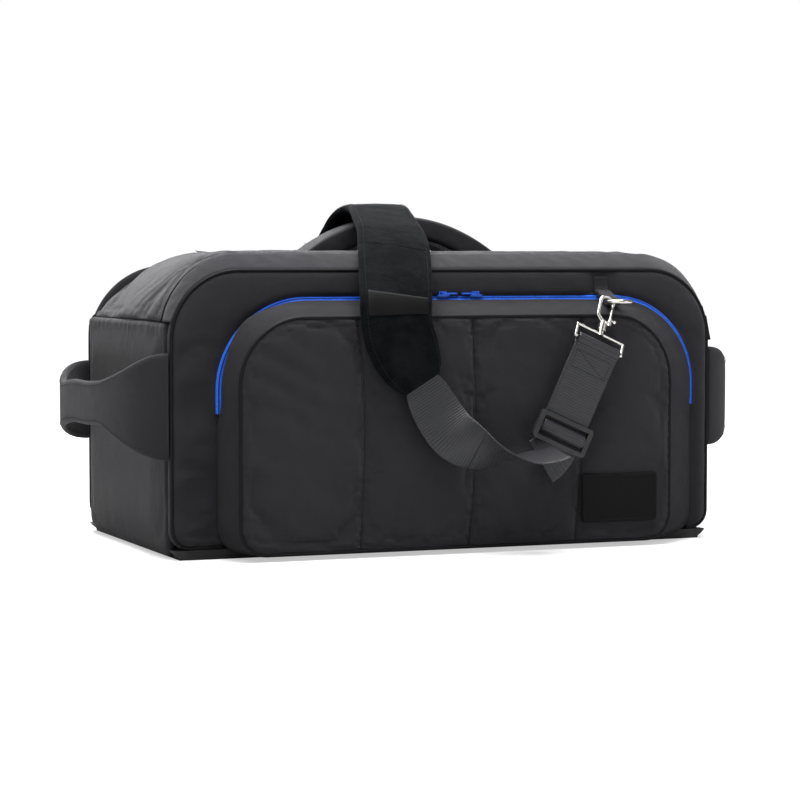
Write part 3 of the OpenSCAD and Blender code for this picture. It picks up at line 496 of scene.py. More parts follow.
class Billow:
    """A sheet that is held at its seams, cut a little too large and pushed from behind by its filling.
    Called with places on the sheet, it gives how far the cloth stands out there, in millimetres."""

    def __init__(self, a_range, b_range, held, step=4.5, pressure=2.0, slack=0.02, cap=4.0):
        frames = 20
        self.a = np.arange(a_range[0], a_range[1] + step, step)
        self.b = np.arange(b_range[0], b_range[1] + step, step)
        self.out = np.zeros((len(self.b), len(self.a)))
        grid_a, grid_b = np.meshgrid(self.a, self.b)
        mask = held(grid_a, grid_b)
        mask[0], mask[-1], mask[:, 0], mask[:, -1] = True, True, True, True
        points = np.stack([grid_a, 0 * grid_a, grid_b], -1)
        piece = new_piece("sheet", points, grid_faces(*grid_a.shape))
        group = piece.vertex_groups.new(name="held")
        group.add([int(k) for k in np.where(mask.ravel())[0]], 1.0, "REPLACE")
        cloth = piece.modifiers.new("filled", "CLOTH")
        cloth.settings.vertex_group_mass = "held"
        cloth.settings.shrink_min = -slack
        cloth.settings.use_pressure = True
        cloth.settings.uniform_pressure_force = pressure
        cloth.settings.effector_weights.gravity = 0
        cloth.settings.quality = 5
        cloth.settings.mass = 0.25
        cloth.settings.bending_stiffness = 0.35
        cloth.point_cache.frame_start, cloth.point_cache.frame_end = 1, frames + 1
        scene = bpy.context.scene
        for step in range(1, frames + 1):
            scene.frame_set(step)
        graph = bpy.context.evaluated_depsgraph_get()
        shaped = piece.evaluated_get(graph).to_mesh()
        after = np.empty(len(shaped.vertices) * 3)
        shaped.vertices.foreach_get("co", after)
        piece.evaluated_get(graph).to_mesh_clear()
        piece.modifiers.remove(cloth)
        scene.frame_set(1)
        mesh = piece.data
        bpy.data.objects.remove(piece)
        bpy.data.meshes.remove(mesh)
        moved = -after.reshape(*grid_a.shape, 3)[..., 1] * 1000
        moved = np.where(np.isfinite(moved), moved, 0)
        moved = moved * np.sign(moved.mean() or 1.0)
        self.out = cap * np.tanh(moved / cap)

    def __call__(self, a, b):
        a, b = np.broadcast_arrays(np.asarray(a, float), np.asarray(b, float))
        i = np.clip((a - self.a[0]) / (self.a[1] - self.a[0]), 0, len(self.a) - 1.001)
        j = np.clip((b - self.b[0]) / (self.b[1] - self.b[0]), 0, len(self.b) - 1.001)
        i0, j0 = i.astype(int), j.astype(int)
        u, v = smooth_step(i - i0), smooth_step(j - j0)
        low = self.out[j0, i0] * (1 - u) + self.out[j0, i0 + 1] * u
        high = self.out[j0 + 1, i0] * (1 - u) + self.out[j0 + 1, i0 + 1] * u
        return low * (1 - v) + high * v


# ---------------------------------------------------------------- shader tools

class Tree:
    """Short way to add nodes: values that are sockets are linked, others are set."""

    def __init__(self, tree):
        self.tree = tree

    def put(self, node, key, value):
        if isinstance(value, bpy.types.NodeSocket):
            self.tree.links.new(value, node.inputs[key])
        else:
            node.inputs[key].default_value = value

    def add(self, kind, values=None, **settings):
        node = self.tree.nodes.new(kind)
        for key, value in settings.items():
            setattr(node, key, value)
        for key, value in (values or {}).items():
            self.put(node, key, value)
        return node

    def group(self, tree, values=None):
        return self.add("ShaderNodeGroup", values, node_tree=tree)

    def math(self, operation, a, b=0.0, clamp=False):
        return self.add("ShaderNodeMath", {0: a, 1: b}, operation=operation, use_clamp=clamp).outputs[0]

    def plus(self, a, b):
        return self.math("ADD", a, b)

    def times(self, a, b, clamp=False):
        return self.math("MULTIPLY", a, b, clamp)

    def mix(self, factor, a, b):
        return self.add("ShaderNodeMix", {0: factor, 6: a, 7: b}, data_type="RGBA").outputs[2]

    def place(self):
        return self.add("ShaderNodeTexCoord").outputs["Object"]

    def stretch(self, place, scale):
        return self.add("ShaderNodeMapping", {"Vector": place, "Scale": scale}).outputs[0]

    def noise(self, place, scale, detail=3.0, roughness=0.5):
        return self.add("ShaderNodeTexNoise", {"Vector": place, "Scale": scale, "Detail": detail,
                                               "Roughness": roughness}).outputs["Fac"]

    def cells(self, place, scale, randomness):
        """Distance to the middle of the nearest cell of a pattern."""
        place = self.stretch(place, (scale, scale, scale))
        return self.add("ShaderNodeTexVoronoi", {"Vector": place, "Scale": 1.0, "Randomness": randomness},
                        feature="F1").outputs["Distance"]

    def spread(self, value, low, high, out_low=0.0, out_high=1.0):
        node = self.add("ShaderNodeMapRange", {"Value": value, "From Min": low, "From Max": high,
                                               "To Min": out_low, "To Max": out_high})
        return node.outputs["Result"]


def empty_tree(owner):
    """The cleared node tree of a material or world."""
    owner.use_nodes = True
    owner.node_tree.nodes.clear()
    return owner.node_tree


def new_group(name, inputs, outputs):
    """A shader node group with number or vector sockets."""
    group = bpy.data.node_groups.new(name, "ShaderNodeTree")
    for label, kind, value in inputs:
        socket = group.interface.new_socket(name=label, in_out="INPUT", socket_type="NodeSocket" + kind)
        if value is not None:
            socket.default_value = value
    for label in outputs:
        group.interface.new_socket(name=label, in_out="OUTPUT", socket_type="NodeSocketFloat")
    tree = Tree(group)
    return tree, tree.add("NodeGroupInput").outputs, tree.add("NodeGroupOutput")


def weave_group():
    """Plain weave over a UV map in metres: thread height and a thread-by-thread tone."""
    t, get, out = new_group("Weave", [("UV", "Vector", None), ("Pitch", "Float", 0.0006)], ("Height", "Tone"))
    split = t.add("ShaderNodeSeparateXYZ", {"Vector": get["UV"]}).outputs
    turns = t.math("DIVIDE", math.pi, get["Pitch"])
    a, b = (t.math("SINE", t.times(split[axis], turns)) for axis in "XY")
    over = t.math("GREATER_THAN", t.times(a, b), 0.0)
    warp = t.times(t.math("ABSOLUTE", a), over)
    weft = t.times(t.math("ABSOLUTE", b), t.math("SUBTRACT", 1.0, over))
    t.put(out, "Height", t.plus(warp, weft))
    t.put(out, "Tone", t.noise(t.stretch(get["UV"], (900, 60, 1)), 1.0, 2.0))
    return t.tree


def rib_group():
    """Woven webbing: ribs across its length, a fine lengthwise thread, its tone and its selvedges."""
    inputs = [("UV", "Vector", None), ("Pitch", "Float", 0.0027), ("Half Width", "Float", 0.025)]
    t, get, out = new_group("Webbing Ribs", inputs, ("Height", "Tone", "Edge"))
    split = t.add("ShaderNodeSeparateXYZ", {"Vector": get["UV"]}).outputs
    side = t.math("ABSOLUTE", split["Y"])
    turns = t.math("DIVIDE", 2 * math.pi, get["Pitch"])
    slant = t.times(t.math("PINGPONG", side, 0.0021), 0.1)
    rib = t.math("SINE", t.times(t.plus(split["X"], slant), turns))
    thread_pitch = 0.0016
    thread = t.math("SINE", t.times(split["Y"], 2 * math.pi / thread_pitch))
    t.put(out, "Height", t.plus(t.spread(rib, -1, 1), t.times(thread, 0.05)))
    t.put(out, "Tone", t.noise(t.stretch(get["UV"], (120, 900, 1)), 1.0, 3.0))
    selvedge = 0.0022
    inner = t.math("SUBTRACT", get["Half Width"], selvedge)
    t.put(out, "Edge", t.math("GREATER_THAN", side, inner))
    return t.tree


def dust_group():
    """Fine lint and dust that settles on what faces up."""
    t, get, out = new_group("Lint", [("Amount", "Float", 0.15), ("Size", "Float", 160.0)], ("Mask",))
    place = t.place()
    up = t.add("ShaderNodeSeparateXYZ", {"Vector": t.add("ShaderNodeNewGeometry").outputs["Normal"]})
    lit = t.spread(up.outputs["Z"], -0.2, 1.0, 0.25, 1.0)
    specks = t.spread(t.noise(place, get["Size"], 6.0, 0.75), 0.52, 0.78)
    cloud = t.spread(t.noise(place, 14.0, 3.0), 0.35, 0.7)
    both = t.times(t.plus(specks, t.times(cloud, 0.5)), lit)
    t.put(out, "Mask", t.times(both, get["Amount"], clamp=True))
    return t.tree


def wear_group():
    """Rubbed edges, from how sharply the surface bends."""
    t, get, out = new_group("Edge Rub", [("Amount", "Float", 0.5)], ("Mask",))
    place = t.place()
    bend = t.spread(t.add("ShaderNodeNewGeometry").outputs["Pointiness"], 0.51, 0.58)
    patchy = t.spread(t.noise(place, 70.0, 4.0), 0.4, 0.65)
    t.put(out, "Mask", t.times(t.times(bend, patchy), get["Amount"], clamp=True))
    return t.tree


def crease_group():
    """Broad soft tone of cloth that has been handled, and its fine creasing."""
    t, get, out = new_group("Handled Cloth", [("Scale", "Float", 9.0)], ("Tone", "Height"))
    place = t.place()
    t.put(out, "Tone", t.spread(t.noise(place, get["Scale"], 3.0), 0.3, 0.7))
    t.put(out, "Height", t.noise(place, 55.0, 3.0, 0.55))
    return t.tree


def tint(colour, share):
    return [k * share for k in colour]


def shades(colour, *shares):
    return [tuple(c * k for c in colour) + (1.0,) for k in shares]


class Surface(Tree):
    """The nodes of one material, whose Principled shader is filled by finish."""

    def __init__(self, name):
        self.material = bpy.data.materials.new(name)
        super().__init__(empty_tree(self.material))
        self.shader = self.add("ShaderNodeBsdfPrincipled")
        self.add("ShaderNodeOutputMaterial", {"Surface": self.shader.outputs[0]})

    def finish(self, colour, roughness, height, strength, distance, **more):
        """Fills the shader: more holds values by socket name, with _ for each space."""
        bump = self.add("ShaderNodeBump", {"Height": height, "Strength": strength, "Distance": distance})
        values = {"Base Color": colour, "Roughness": roughness, "Normal": bump.outputs[0]}
        for key, value in more.items():
            values[key.replace("_", " ")] = value
        for key, value in values.items():
            self.put(self.shader, key, value)
        return self.material


class Finish:
    """All materials, built once from the colours that the user sets."""

    def __init__(self, c):
        self.weave, self.ribs, self.lint = weave_group(), rib_group(), dust_group()
        self.rub, self.crease = wear_group(), crease_group()
        self.cloth = self.make_cloth("Bag Cloth", c.cloth)
        # The bag cloth painted darker, with less sheen: painted shade on the pocket's side band
        self.gusset_painted_shade = self.make_cloth("Gusset Cloth Painted Darker", tint(c.cloth, 0.6), sheen=0.03)
        # The bag cloth painted lighter: a painted highlight for the lid and rim, which face the top light
        self.cloth_painted_lit = self.make_cloth("Lid Cloth Painted Lighter", tint(c.cloth, 1.3), sheen=0.2)
        self.liner = self.make_cloth("Lining Cloth", c.liner, pitch=0.0004)
        self.mesh = self.make_spacer("Spacer Mesh", tint(c.cloth, 1.6))
        self.webbing = self.make_webbing("Webbing", c.webbing)
        self.tab = self.make_webbing("Tab Webbing", tint(c.webbing, 0.6), half=0.008, gloss=0.1)
        self.velour = self.make_velour("Velour", c.velour)
        # Cord painted far darker than the bag cloth: painted shade along the seams
        self.piping_painted_shade = self.make_cord("Piping", tint(c.cloth, 0.35))
        self.thread = self.make_cord("Thread", tint(c.cloth, 1.7))
        self.thread_dark = self.make_cord("Dark Thread", tint(c.cloth, 0.7))
        self.zip_black = self.make_cord("Black Zip Tape", tint(c.cloth, 0.45))
        self.zip_tape = self.make_cord("Zip Tape", c.zip, 0.4)
        self.coil = self.make_coil("Zip Coil", tint(c.zip, 1.15))
        self.black_coil = self.make_coil("Lid Zip Coil", tint(c.cloth, 0.5))
        self.blue_metal = self.make_paint("Painted Slider", tint(c.zip, 0.9))
        self.nickel = self.make_metal("Polished Nickel", c.nickel)
        self.plastic = self.make_plastic("Moulded Plastic", c.plastic, 0.42)
        self.label = self.make_plastic("Patch Rubber", tint(c.plastic, 0.35), 0.65, 0.1)
        self.rubber = self.make_rubber("Base Rubber", c.rubber)

    def make_cloth(self, name, colour, pitch=0.0007, sheen=0.1):
        """Plain woven cloth, handled and a little dusty."""
        t = Surface(name)
        weave = t.group(self.weave, {"UV": t.add("ShaderNodeUVMap").outputs[0], "Pitch": pitch}).outputs
        worn = t.group(self.crease).outputs
        lint = t.group(self.lint, {"Amount": 0.035}).outputs[0]
        gaps, low, high = shades(colour, 0.55, 0.6, 1.4)
        threads = t.mix(weave["Height"], gaps, t.mix(worn["Tone"], low, high))
        toned = t.mix(t.times(weave["Tone"], 0.2), threads, high)
        height = t.plus(t.times(weave["Height"], 0.25), t.times(worn["Height"], 1.5))
        return t.finish(t.mix(lint, toned, (0.22, 0.22, 0.23, 1)), t.spread(worn["Tone"], 0, 1, 0.78, 0.92),
                        height, 0.6, 0.0022, Sheen_Weight=sheen, Sheen_Roughness=0.4, Specular_IOR_Level=0.3)

    def make_spacer(self, name, colour):
        """Open mesh: rows of small dark holes."""
        t = Surface(name)
        hole = t.spread(t.cells(t.add("ShaderNodeUVMap").outputs[0], 420, 0.35), 0.18, 0.42)
        return t.finish(t.mix(hole, *shades(colour, 0.2, 1.5)), 0.85, hole, 0.9, 0.0009, Sheen_Weight=0.3)

    def make_webbing(self, name, colour, half=0.025, gloss=0.4):
        """Ribbed webbing with darker selvedges."""
        t = Surface(name)
        ribs = t.group(self.ribs, {"UV": t.add("ShaderNodeUVMap").outputs[0], "Half Width": half}).outputs
        lint = t.group(self.lint, {"Amount": 0.05}).outputs[0]
        low, worn, high = shades(colour, 0.55, 1.1, 1.35)
        toned = t.mix(t.times(ribs["Tone"], 0.5), t.mix(ribs["Height"], low, high), worn)
        edged = t.mix(t.times(ribs["Edge"], 0.5), toned, low)
        return t.finish(t.mix(lint, edged, (0.3, 0.3, 0.31, 1)), t.spread(ribs["Tone"], 0, 1, 0.38, 0.5),
                        ribs["Height"], 0.7, 0.0004, Specular_IOR_Level=gloss)

    def make_velour(self, name, colour):
        """Short pile, brushed one way and the other."""
        t = Surface(name)
        place = t.place()
        brushed = t.spread(t.noise(place, 38.0, 5.0, 0.65), 0.38, 0.66)
        pile = t.noise(place, 900.0, 2.0, 0.6)
        low, high = shades(colour, 0.65, 1.7)
        return t.finish(t.mix(t.times(pile, 0.5), t.mix(brushed, low, high), low), 0.95,
                        t.plus(pile, t.times(brushed, 1.5)), 0.7, 0.0012,
                        Specular_IOR_Level=0.04, Sheen_Weight=0.02, Sheen_Roughness=0.35)

    def make_cord(self, name, colour, gloss=0.15):
        """Twisted or braided cord, thread and narrow tape."""
        t = Surface(name)
        fibre = t.noise(t.place(), 700.0, 3.0, 0.6)
        return t.finish(t.mix(t.spread(fibre, 0.35, 0.65), *shades(colour, 0.7, 1.25)),
                        t.spread(fibre, 0.3, 0.7, 0.55, 0.8), fibre, 0.5, 0.0004, Specular_IOR_Level=gloss)

    def make_coil(self, name, colour):
        """Smooth plastic wire."""
        t = Surface(name)
        grain = t.spread(t.noise(t.place(), 300.0, 3.0), 0.35, 0.65)
        return t.finish(t.mix(grain, *shades(colour, 0.75, 1.2)), t.spread(grain, 0, 1, 0.28, 0.42),
                        grain, 0.2, 0.0003)

    def make_paint(self, name, colour):
        """Painted metal, rubbed at its edges."""
        t = Surface(name)
        rub = t.group(self.rub, {"Amount": 0.2}).outputs[0]
        cloud = t.spread(t.noise(t.place(), 120.0, 4.0), 0.35, 0.65)
        paint = t.mix(cloud, *shades(colour, 0.85, 1.15))
        return t.finish(t.mix(rub, paint, (0.12, 0.24, 0.7, 1)), t.spread(cloud, 0, 1, 0.22, 0.36),
                        cloud, 0.15, 0.0003, Metallic=0.1, Coat_Weight=0.15)

    def make_metal(self, name, colour):
        """Polished plating with smudges and fine lines."""
        t = Surface(name)
        place = t.place()
        smudge = t.spread(t.noise(place, 90.0, 5.0, 0.6), 0.35, 0.7)
        lines = t.noise(t.stretch(place, (1500, 1500, 120)), 1.0, 2.0)
        roughness = t.plus(t.spread(smudge, 0, 1, 0.10, 0.22), t.times(lines, 0.08))
        return t.finish(t.mix(smudge, *shades(colour, 1.0, 0.86)), roughness, lines, 0.12, 0.0002,
                        Metallic=1.0)

    def make_plastic(self, name, colour, rough, gloss=0.4):
        """Moulded plastic or rubber with a fine grain, paler where it is rubbed."""
        t = Surface(name)
        place = t.place()
        rub = t.group(self.rub, {"Amount": 0.5}).outputs[0]
        grain = t.noise(place, 1100.0, 3.0, 0.6)
        cloud = t.spread(t.noise(place, 40.0, 4.0), 0.35, 0.65)
        low, high, rubbed = shades(colour, 0.8, 1.2, 2.6)
        return t.finish(t.mix(rub, t.mix(cloud, low, high), rubbed),
                        t.spread(cloud, 0, 1, rough - 0.06, rough + 0.08), grain, 0.3, 0.0003,
                        Specular_IOR_Level=gloss)

    def make_rubber(self, name, colour):
        """Rubberised base with a fine moulded grid and scuffs."""
        t = Surface(name)
        place = t.place()
        cells = t.spread(t.cells(place, 330, 0.1), 0.2, 0.5)
        scuff = t.spread(t.noise(place, 26.0, 6.0, 0.7), 0.5, 0.75)
        rub = t.group(self.rub, {"Amount": 0.3}).outputs[0]
        base = t.mix(cells, *shades(colour, 1.15, 0.8))
        grey = t.mix(t.times(scuff, 0.2), base, (0.04, 0.04, 0.04, 1))
        return t.finish(t.mix(rub, grey, (0.05, 0.05, 0.05, 1)), t.spread(scuff, 0, 1, 0.5, 0.8),
                        cells, 0.4, 0.0005, Specular_IOR_Level=0.3)


def put_on(piece, material, slot=None):
    piece.data.materials.clear()
    piece.data.materials.append(material)
    return piece


def dress_node(node, material):
    """Gives a CAD node's own object a better material."""
    mesh = frame["nodes"][node].data
    if not mesh.materials:
        mesh.materials.append(material)
    for k in range(len(mesh.materials)):
        mesh.materials[k] = material


# ---------------------------------------------------------------- repeated details

def repeat_tree(name):
    """Geometry Nodes: small bars set along lines, facing the lines' stored up direction."""
    tree = bpy.data.node_groups.new(name, "GeometryNodeTree")
    tree.interface.new_socket(name="Geometry", in_out="INPUT", socket_type="NodeSocketGeometry")
    for label, value in (("Pitch", 0.003), ("Length", 0.002), ("Width", 0.0007), ("Height", 0.0005),
                         ("Turn", 0.0), ("Unevenness", 0.05)):
        socket = tree.interface.new_socket(name=label, in_out="INPUT", socket_type="NodeSocketFloat")
        socket.default_value = value
    tree.interface.new_socket(name="Material", in_out="INPUT", socket_type="NodeSocketMaterial")
    tree.interface.new_socket(name="Geometry", in_out="OUTPUT", socket_type="NodeSocketGeometry")
    t = Tree(tree)
    get, put = t.add("NodeGroupInput"), t.add("NodeGroupOutput")
    curve = t.add("GeometryNodeMeshToCurve", {"Mesh": get.outputs["Geometry"]})
    even = t.add("GeometryNodeResampleCurve", {"Curve": curve.outputs[0], "Length": get.outputs["Pitch"]},
                 mode="LENGTH")
    up = t.add("GeometryNodeInputNamedAttribute", {"Name": "up"}, data_type="FLOAT_VECTOR").outputs[0]
    tangent = t.add("GeometryNodeInputTangent").outputs[0]
    along = t.add("FunctionNodeAlignRotationToVector", {"Vector": tangent}, axis="X")
    facing = t.add("FunctionNodeAlignRotationToVector", {"Rotation": along.outputs[0], "Vector": up},
                   axis="Z", pivot_axis="X")
    spin = t.add("ShaderNodeCombineXYZ", {"Z": get.outputs["Turn"]})
    turned = t.add("FunctionNodeRotateRotation",
                   {"Rotation": facing.outputs[0], "Rotate By": spin.outputs[0]}, rotation_space="LOCAL")
    bar = t.add("GeometryNodeMeshUVSphere", {"Segments": 8, "Rings": 4, "Radius": 0.5})
    smooth = t.add("GeometryNodeSetShadeSmooth", {"Geometry": bar.outputs[0]})
    more = t.plus(1.0, get.outputs["Unevenness"])
    less = t.math("SUBTRACT", 1.0, get.outputs["Unevenness"])
    chance = t.add("FunctionNodeRandomValue", {2: less, 3: more, "Seed": 7}, data_type="FLOAT").outputs[1]
    size = t.add("ShaderNodeCombineXYZ", {"X": t.times(get.outputs["Length"], chance),
                                          "Y": get.outputs["Width"], "Z": get.outputs["Height"]})
    place = t.add("GeometryNodeInstanceOnPoints", {"Points": even.outputs[0], "Instance": smooth.outputs[0],
                                                   "Rotation": turned.outputs[0], "Scale": size.outputs[0]})
    solid = t.add("GeometryNodeRealizeInstances", {"Geometry": place.outputs[0]})
    paint = t.add("GeometryNodeSetMaterial", {"Geometry": solid.outputs[0],
                                              "Material": get.outputs["Material"]})
    t.put(put, 0, paint.outputs[0])
    return tree


def repeat_along(name, lines, ups, material, **values):
    """Bars along each line, as one plain mesh. lines and ups are lists of point arrays in millimetres."""
    tree = bpy.data.node_groups.get("Repeat Along Lines") or repeat_tree("Repeat Along Lines")
    points, edges, facing = [], [], []
    for line, up in zip(lines, ups):
        start = sum(len(p) for p in points)
        points.append(np.asarray(line, float))
        facing.append(np.broadcast_to(np.asarray(up, float), points[-1].shape))
        edges += [(start + k, start + k + 1) for k in range(len(line) - 1)]
    mesh = bpy.data.meshes.new(name + " lines")
    mesh.from_pydata((np.vstack(points) / 1000).tolist(), edges, [])
    layer = mesh.attributes.new("up", "FLOAT_VECTOR", "POINT")
    layer.data.foreach_set("vector", np.vstack(facing).ravel())
    guide = add_object(name + " lines", mesh)
    modifier = guide.modifiers.new("repeat", "NODES")
    modifier.node_group = tree
    values = dict(values, Material=material)
    for item in tree.interface.items_tree:
        if item.in_out == "INPUT" and item.name in values:
            modifier[item.identifier] = values[item.name]
    bpy.context.view_layer.update()
    graph = bpy.context.evaluated_depsgraph_get()
    plain = bpy.data.meshes.new_from_object(guide.evaluated_get(graph))
    guide.modifiers.remove(modifier)
    bpy.data.objects.remove(guide)
    plain.name = plain_name(name)
    piece = add_object(plain_name(name), plain)
    if not plain.materials:
        plain.materials.append(material)
    return piece


def settle(piece, material, slot, body, *nodes):
    """Material, body and the CAD nodes that a piece stands for. slot is not used."""
    put_on(piece, material, slot)
    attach(piece, body)
    if nodes:
        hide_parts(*nodes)
    return piece


def bend(piece, material, slot, a, b, start, end, *nodes):
    """Material and CAD nodes for a piece that lies between two bodies: its transform is baked and it is set
    on no body. a, b, slot, start and end (in millimetres) are not used.
    """
    put_on(piece, material, slot)
    tuple(k / 1000 for k in start)
    tuple(k / 1000 for k in end)
    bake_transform(piece)
    if nodes:
        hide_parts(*nodes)
    return piece


# Where the pocket would start and end a bend when its flap opens; bend does not use them
FLAP_START, FLAP_END = (0, 0, 126), (0, 0, 160)


def bend_pocket(piece, material, slot, *nodes):
    return bend(piece, material, slot, "bag", "pocket_flap", FLAP_START, FLAP_END, *nodes)


SHARED = {}


def looks():
    if "looks" not in SHARED:
        SHARED["looks"] = Finish(bpy.context.scene.bag_colours)
    return SHARED["looks"]


def user_sizes():
    return bpy.context.scene.bag_sizes


def stitched(name, lines, ups, pitch=None, material=None):
    """A row of thread stitches along each line."""
    pitch = pitch or user_sizes().stitch_pitch
    piece = repeat_along(name, lines, ups, material or looks().thread, Pitch=pitch, Length=pitch * 0.78,
                         Width=0.0008, Height=0.0007, Unevenness=0.12)
    return piece


def tape(name, line, turn, start, end, columns, thickness):
    """A flat zip tape along an arch. Its edges start and end each give a distance outwards and a level."""
    edges = []
    for k in np.linspace(0, 1, columns):
        out, y = (a + (b - a) * k for a, b in zip(start, end))
        edges.append(beside(line, turn, out, y))
    face = np.array(edges).transpose(1, 0, 2)
    return shell(name, face, face - thickness[:, None])


def teeth(name, line, up, material, share, width, height):
    """The teeth of one half of a zip, each a share of the pitch long."""
    pitch = user_sizes().zip_pitch
    return repeat_along(name, [line], [up], material, Pitch=pitch, Length=pitch * share, Width=width,
                        Height=height, Unevenness=0.0)


# ---------------------------------------------------------------- body

def front_panel():
    m = looks()
    loft = user_sizes().loft * 1000

    def held(x, z):
        by_tab = np.hypot(x - RING_X, z - RING_TAB_Z) < 26
        return (inside(ZIP, x, z) > -6) | (inside(FRONT, x, z) < 6) | by_tab

    billow = Billow((-295, 295), (10, 284), held, pressure=3.0, slack=0.03, cap=2.2)

    def front(x, z, depth):
        clear = np.maximum(-inside(ZIP, x, z), 0)
        rise = swell(depth, 9) * swell(clear, 10)
        tab = 1 - 0.85 * bell(x, RING_X, 16, 4) * (z > 200)
        top = smooth_step((z - 215) / 50)
        pillow = 4.2 * top * (1 - np.exp(-depth / 9)) * swell(clear, 6)
        face = rise * (1 - 0.85 * top) * (loft * 0.9 + 0.8 * ripples(x, z, 3) + billow(x, z))
        return FRONT_Y - tab * (face + pillow)

    piece = panel("Front Panel", FRONT, front, flat(FRONT_Y + 12), 7, rows=90, step=4)
    settle(piece, m.cloth, "cloth", "bag", "front_panel")


def padded_back():
    m = looks()
    billow = Billow((-293, 293), (12, 287), lambda x, z: inside(BACK, x, z) < 20, pressure=2.5, slack=0.02,
                    cap=3.0, step=5.5)

    def back(x, z, depth):
        raised = 7 * smooth_step((depth - 4) / 14) + 1.6 * smooth_step((depth - 20) / 90)
        return BACK_Y + 10 + raised + (0.5 * ripples(x, z, 5) + billow(x, z)) * smooth_step((depth - 10) / 20)

    def back_inner(x, z, depth):
        return BACK_Y + 4 - 13.5 * smooth_step((depth - 24) / 4)

    piece = panel("Padded Back", BACK, back, back_inner, 6, rows=90, step=4)
    settle(piece, m.cloth, "cloth", "bag", "back_panel")


def side_panels():
    m = looks()
    loft = user_sizes().loft * 1000
    half_w, lining_x = 295, 285
    billow = Billow((-138, 148), (2, 232), lambda y, z: inside(SIDE, y, z) < 5, pressure=3.0, slack=0.012,
                    cap=3.0)
    for side, tag in SIDES:

        def outer(y, z, depth):
            dome = smooth_step(np.clip(depth / 40, 0, 1))
            top = bell(z, SEAM_Z, 9)
            pucker = 0.5 * np.sin(y / 3.1 + 2 * np.sin(y / 17)) * top
            wave = ripples(y, z, 11 + side, shortest=60, longest=220) * smooth_step(depth / 18)
            bulged = half_w - 3.5 * bell(z, 0, 9) + dome * (loft + 0.9 * wave)
            return side * (bulged + 1.3 * top + pucker + billow(side * -y + 5, z) * 0.4)

        piece = panel(f"Side Panel {tag}", SIDE, outer, flat(side * lining_x), 5, place=sideways, rows=84,
                      step=2.6)
        settle(piece, m.cloth, "cloth_top", "bag", "side_panel_" + tag)


def front_rim():
    """The rolled rim between the front panel and the lid."""
    m = looks()
    counts = (16, 44, 110)
    a, _ = arch_points(FRONT, CORNER_Z, counts)
    b, turn = arch_points(BODY, CORNER_Z, counts)
    y_back = hinge_arc(RIM_R, b[:, 1])
    outer, inner = [], []
    for v in np.linspace(0, 1, 11):
        p = a + (b - a) * min(v * 1.25, 1)
        y = FRONT_Y + 0.6 + (y_back - FRONT_Y - 0.8) * v
        arched = math.sin(math.pi * v)
        puffed = 1.5 * arched ** 0.6 + 0.5 * ripples(p[:, 0] + p[:, 1], y, 21, shortest=9, longest=40)
        round_off = 1.6 * (1 - math.sqrt(1 - max(0, (v - 0.86) / 0.14) ** 2))
        outer.append(at_level(p + turn * (puffed * arched ** 0.5 - round_off)[:, None], y))
        inner.append(at_level(p - turn * (1.5 + 7.5 * smooth_step(v * 1.6)), y))
    piece = shell("Front Rim", np.array(outer), np.array(inner))
    # The rim takes the lighter copy of the bag cloth: painted highlight
    settle(piece, m.cloth_painted_lit, "cloth_top", "bag", "front_rim")


def body_piping():
    """Piping round the front, broken where the pocket covers it, and round the padded back."""
    m = looks()
    p, _ = loop_points(FRONT, inset=2)
    clear = inside(ZIP, p[:, 0], p[:, 1]) < 0.5
    first = np.where(~clear)[0].max() + 1
    order = np.roll(np.arange(len(p)), -first)
    p = p[order][clear[order]]
    piece = tube("Front Piping", at_level(p, FRONT_Y - 0.5), 1.7)
    # The front piping is painted dark: painted shade along the seam
    settle(piece, m.piping_painted_shade, "cloth", "bag", "front_piping")

    side_x, low_z, r = 293.2, 11.8, 20
    corner_x = side_x - r
    low = [(side_x - 4 * np.exp(-(SEAM_Z - z) / 6), z) for z in np.linspace(SEAM_Z, 34, 50)[1:]]
    turn = np.radians(np.linspace(0, -90, 12))
    low += [(corner_x + r * math.cos(t), low_z + r + r * math.sin(t)) for t in turn]
    low += [(x, low_z) for x in np.linspace(corner_x, 0, 60)[1:]]
    low = np.array(low)
    p = np.vstack([back_arch(1.8), low, low[-2::-1] * [-1, 1]])
    piece = tube("Back Piping", at_level(p, BACK_Y + 2.1), 1.8, closed=True)
    # The back piping is painted dark: painted shade along the seam
    settle(piece, m.piping_painted_shade, "cloth", "bag", "back_piping")


def back_yoke():
    """The yoke that joins the padded back to the bag below the lid's back edge."""
    line = at_shares(back_arch(), np.linspace(0, 1, 240))
    # The yoke's section: distance inwards and level
    section = ((15, 138.6), (15, 148), (3.9, 148.2), (3.9, 152.2), (34, 152.2), (34, 138.6))
    rings = [[(p[0] - n[0] * k, y, p[1] - n[1] * k) for k, y in section] for p, n in zip(line, outward(line))]
    piece = ring_stack("Back Yoke", rings)
    settle(piece, looks().cloth, "cloth", "bag", "back_panel")
    piece.data.shade_flat()


def lining_ring(inset, z, slack=0.0):
    """The lining's outline at one level, with points about 7 mm apart and its sides a little slack."""
    hx, hy = 284.6 - inset, 137.6 - inset
    r = max(9.0 - inset, 2)
    corners = []
    for right, back, start in ((1, 1, 0), (-1, 1, 90), (-1, -1, 180), (1, -1, 270)):
        for t in np.radians(np.linspace(start, start + 90, 7)):
            corners.append((right * (hx - r) + r * math.cos(t), back * (hy - r) + r * math.sin(t)))
    corners = np.array(corners)
    ring = []
    for p, q in zip(corners, np.roll(corners, -1, 0)):
        n = max(int(np.linalg.norm(q - p) / 7), 1)
        ring += [p + (q - p) * i / n for i in range(n)]
    ring = np.array(ring)
    inwards = -(np.sign(ring) * (np.abs(ring) > np.array([hx - 1, hy - 1])))
    move = slack * (0.5 + 0.5 * ripples(ring[:, 0] + ring[:, 1], z + ring[:, 0] * 0, 31))[:, None]
    ring = ring + inwards * move
    return np.column_stack([ring, ring[:, 0] * 0 + z])


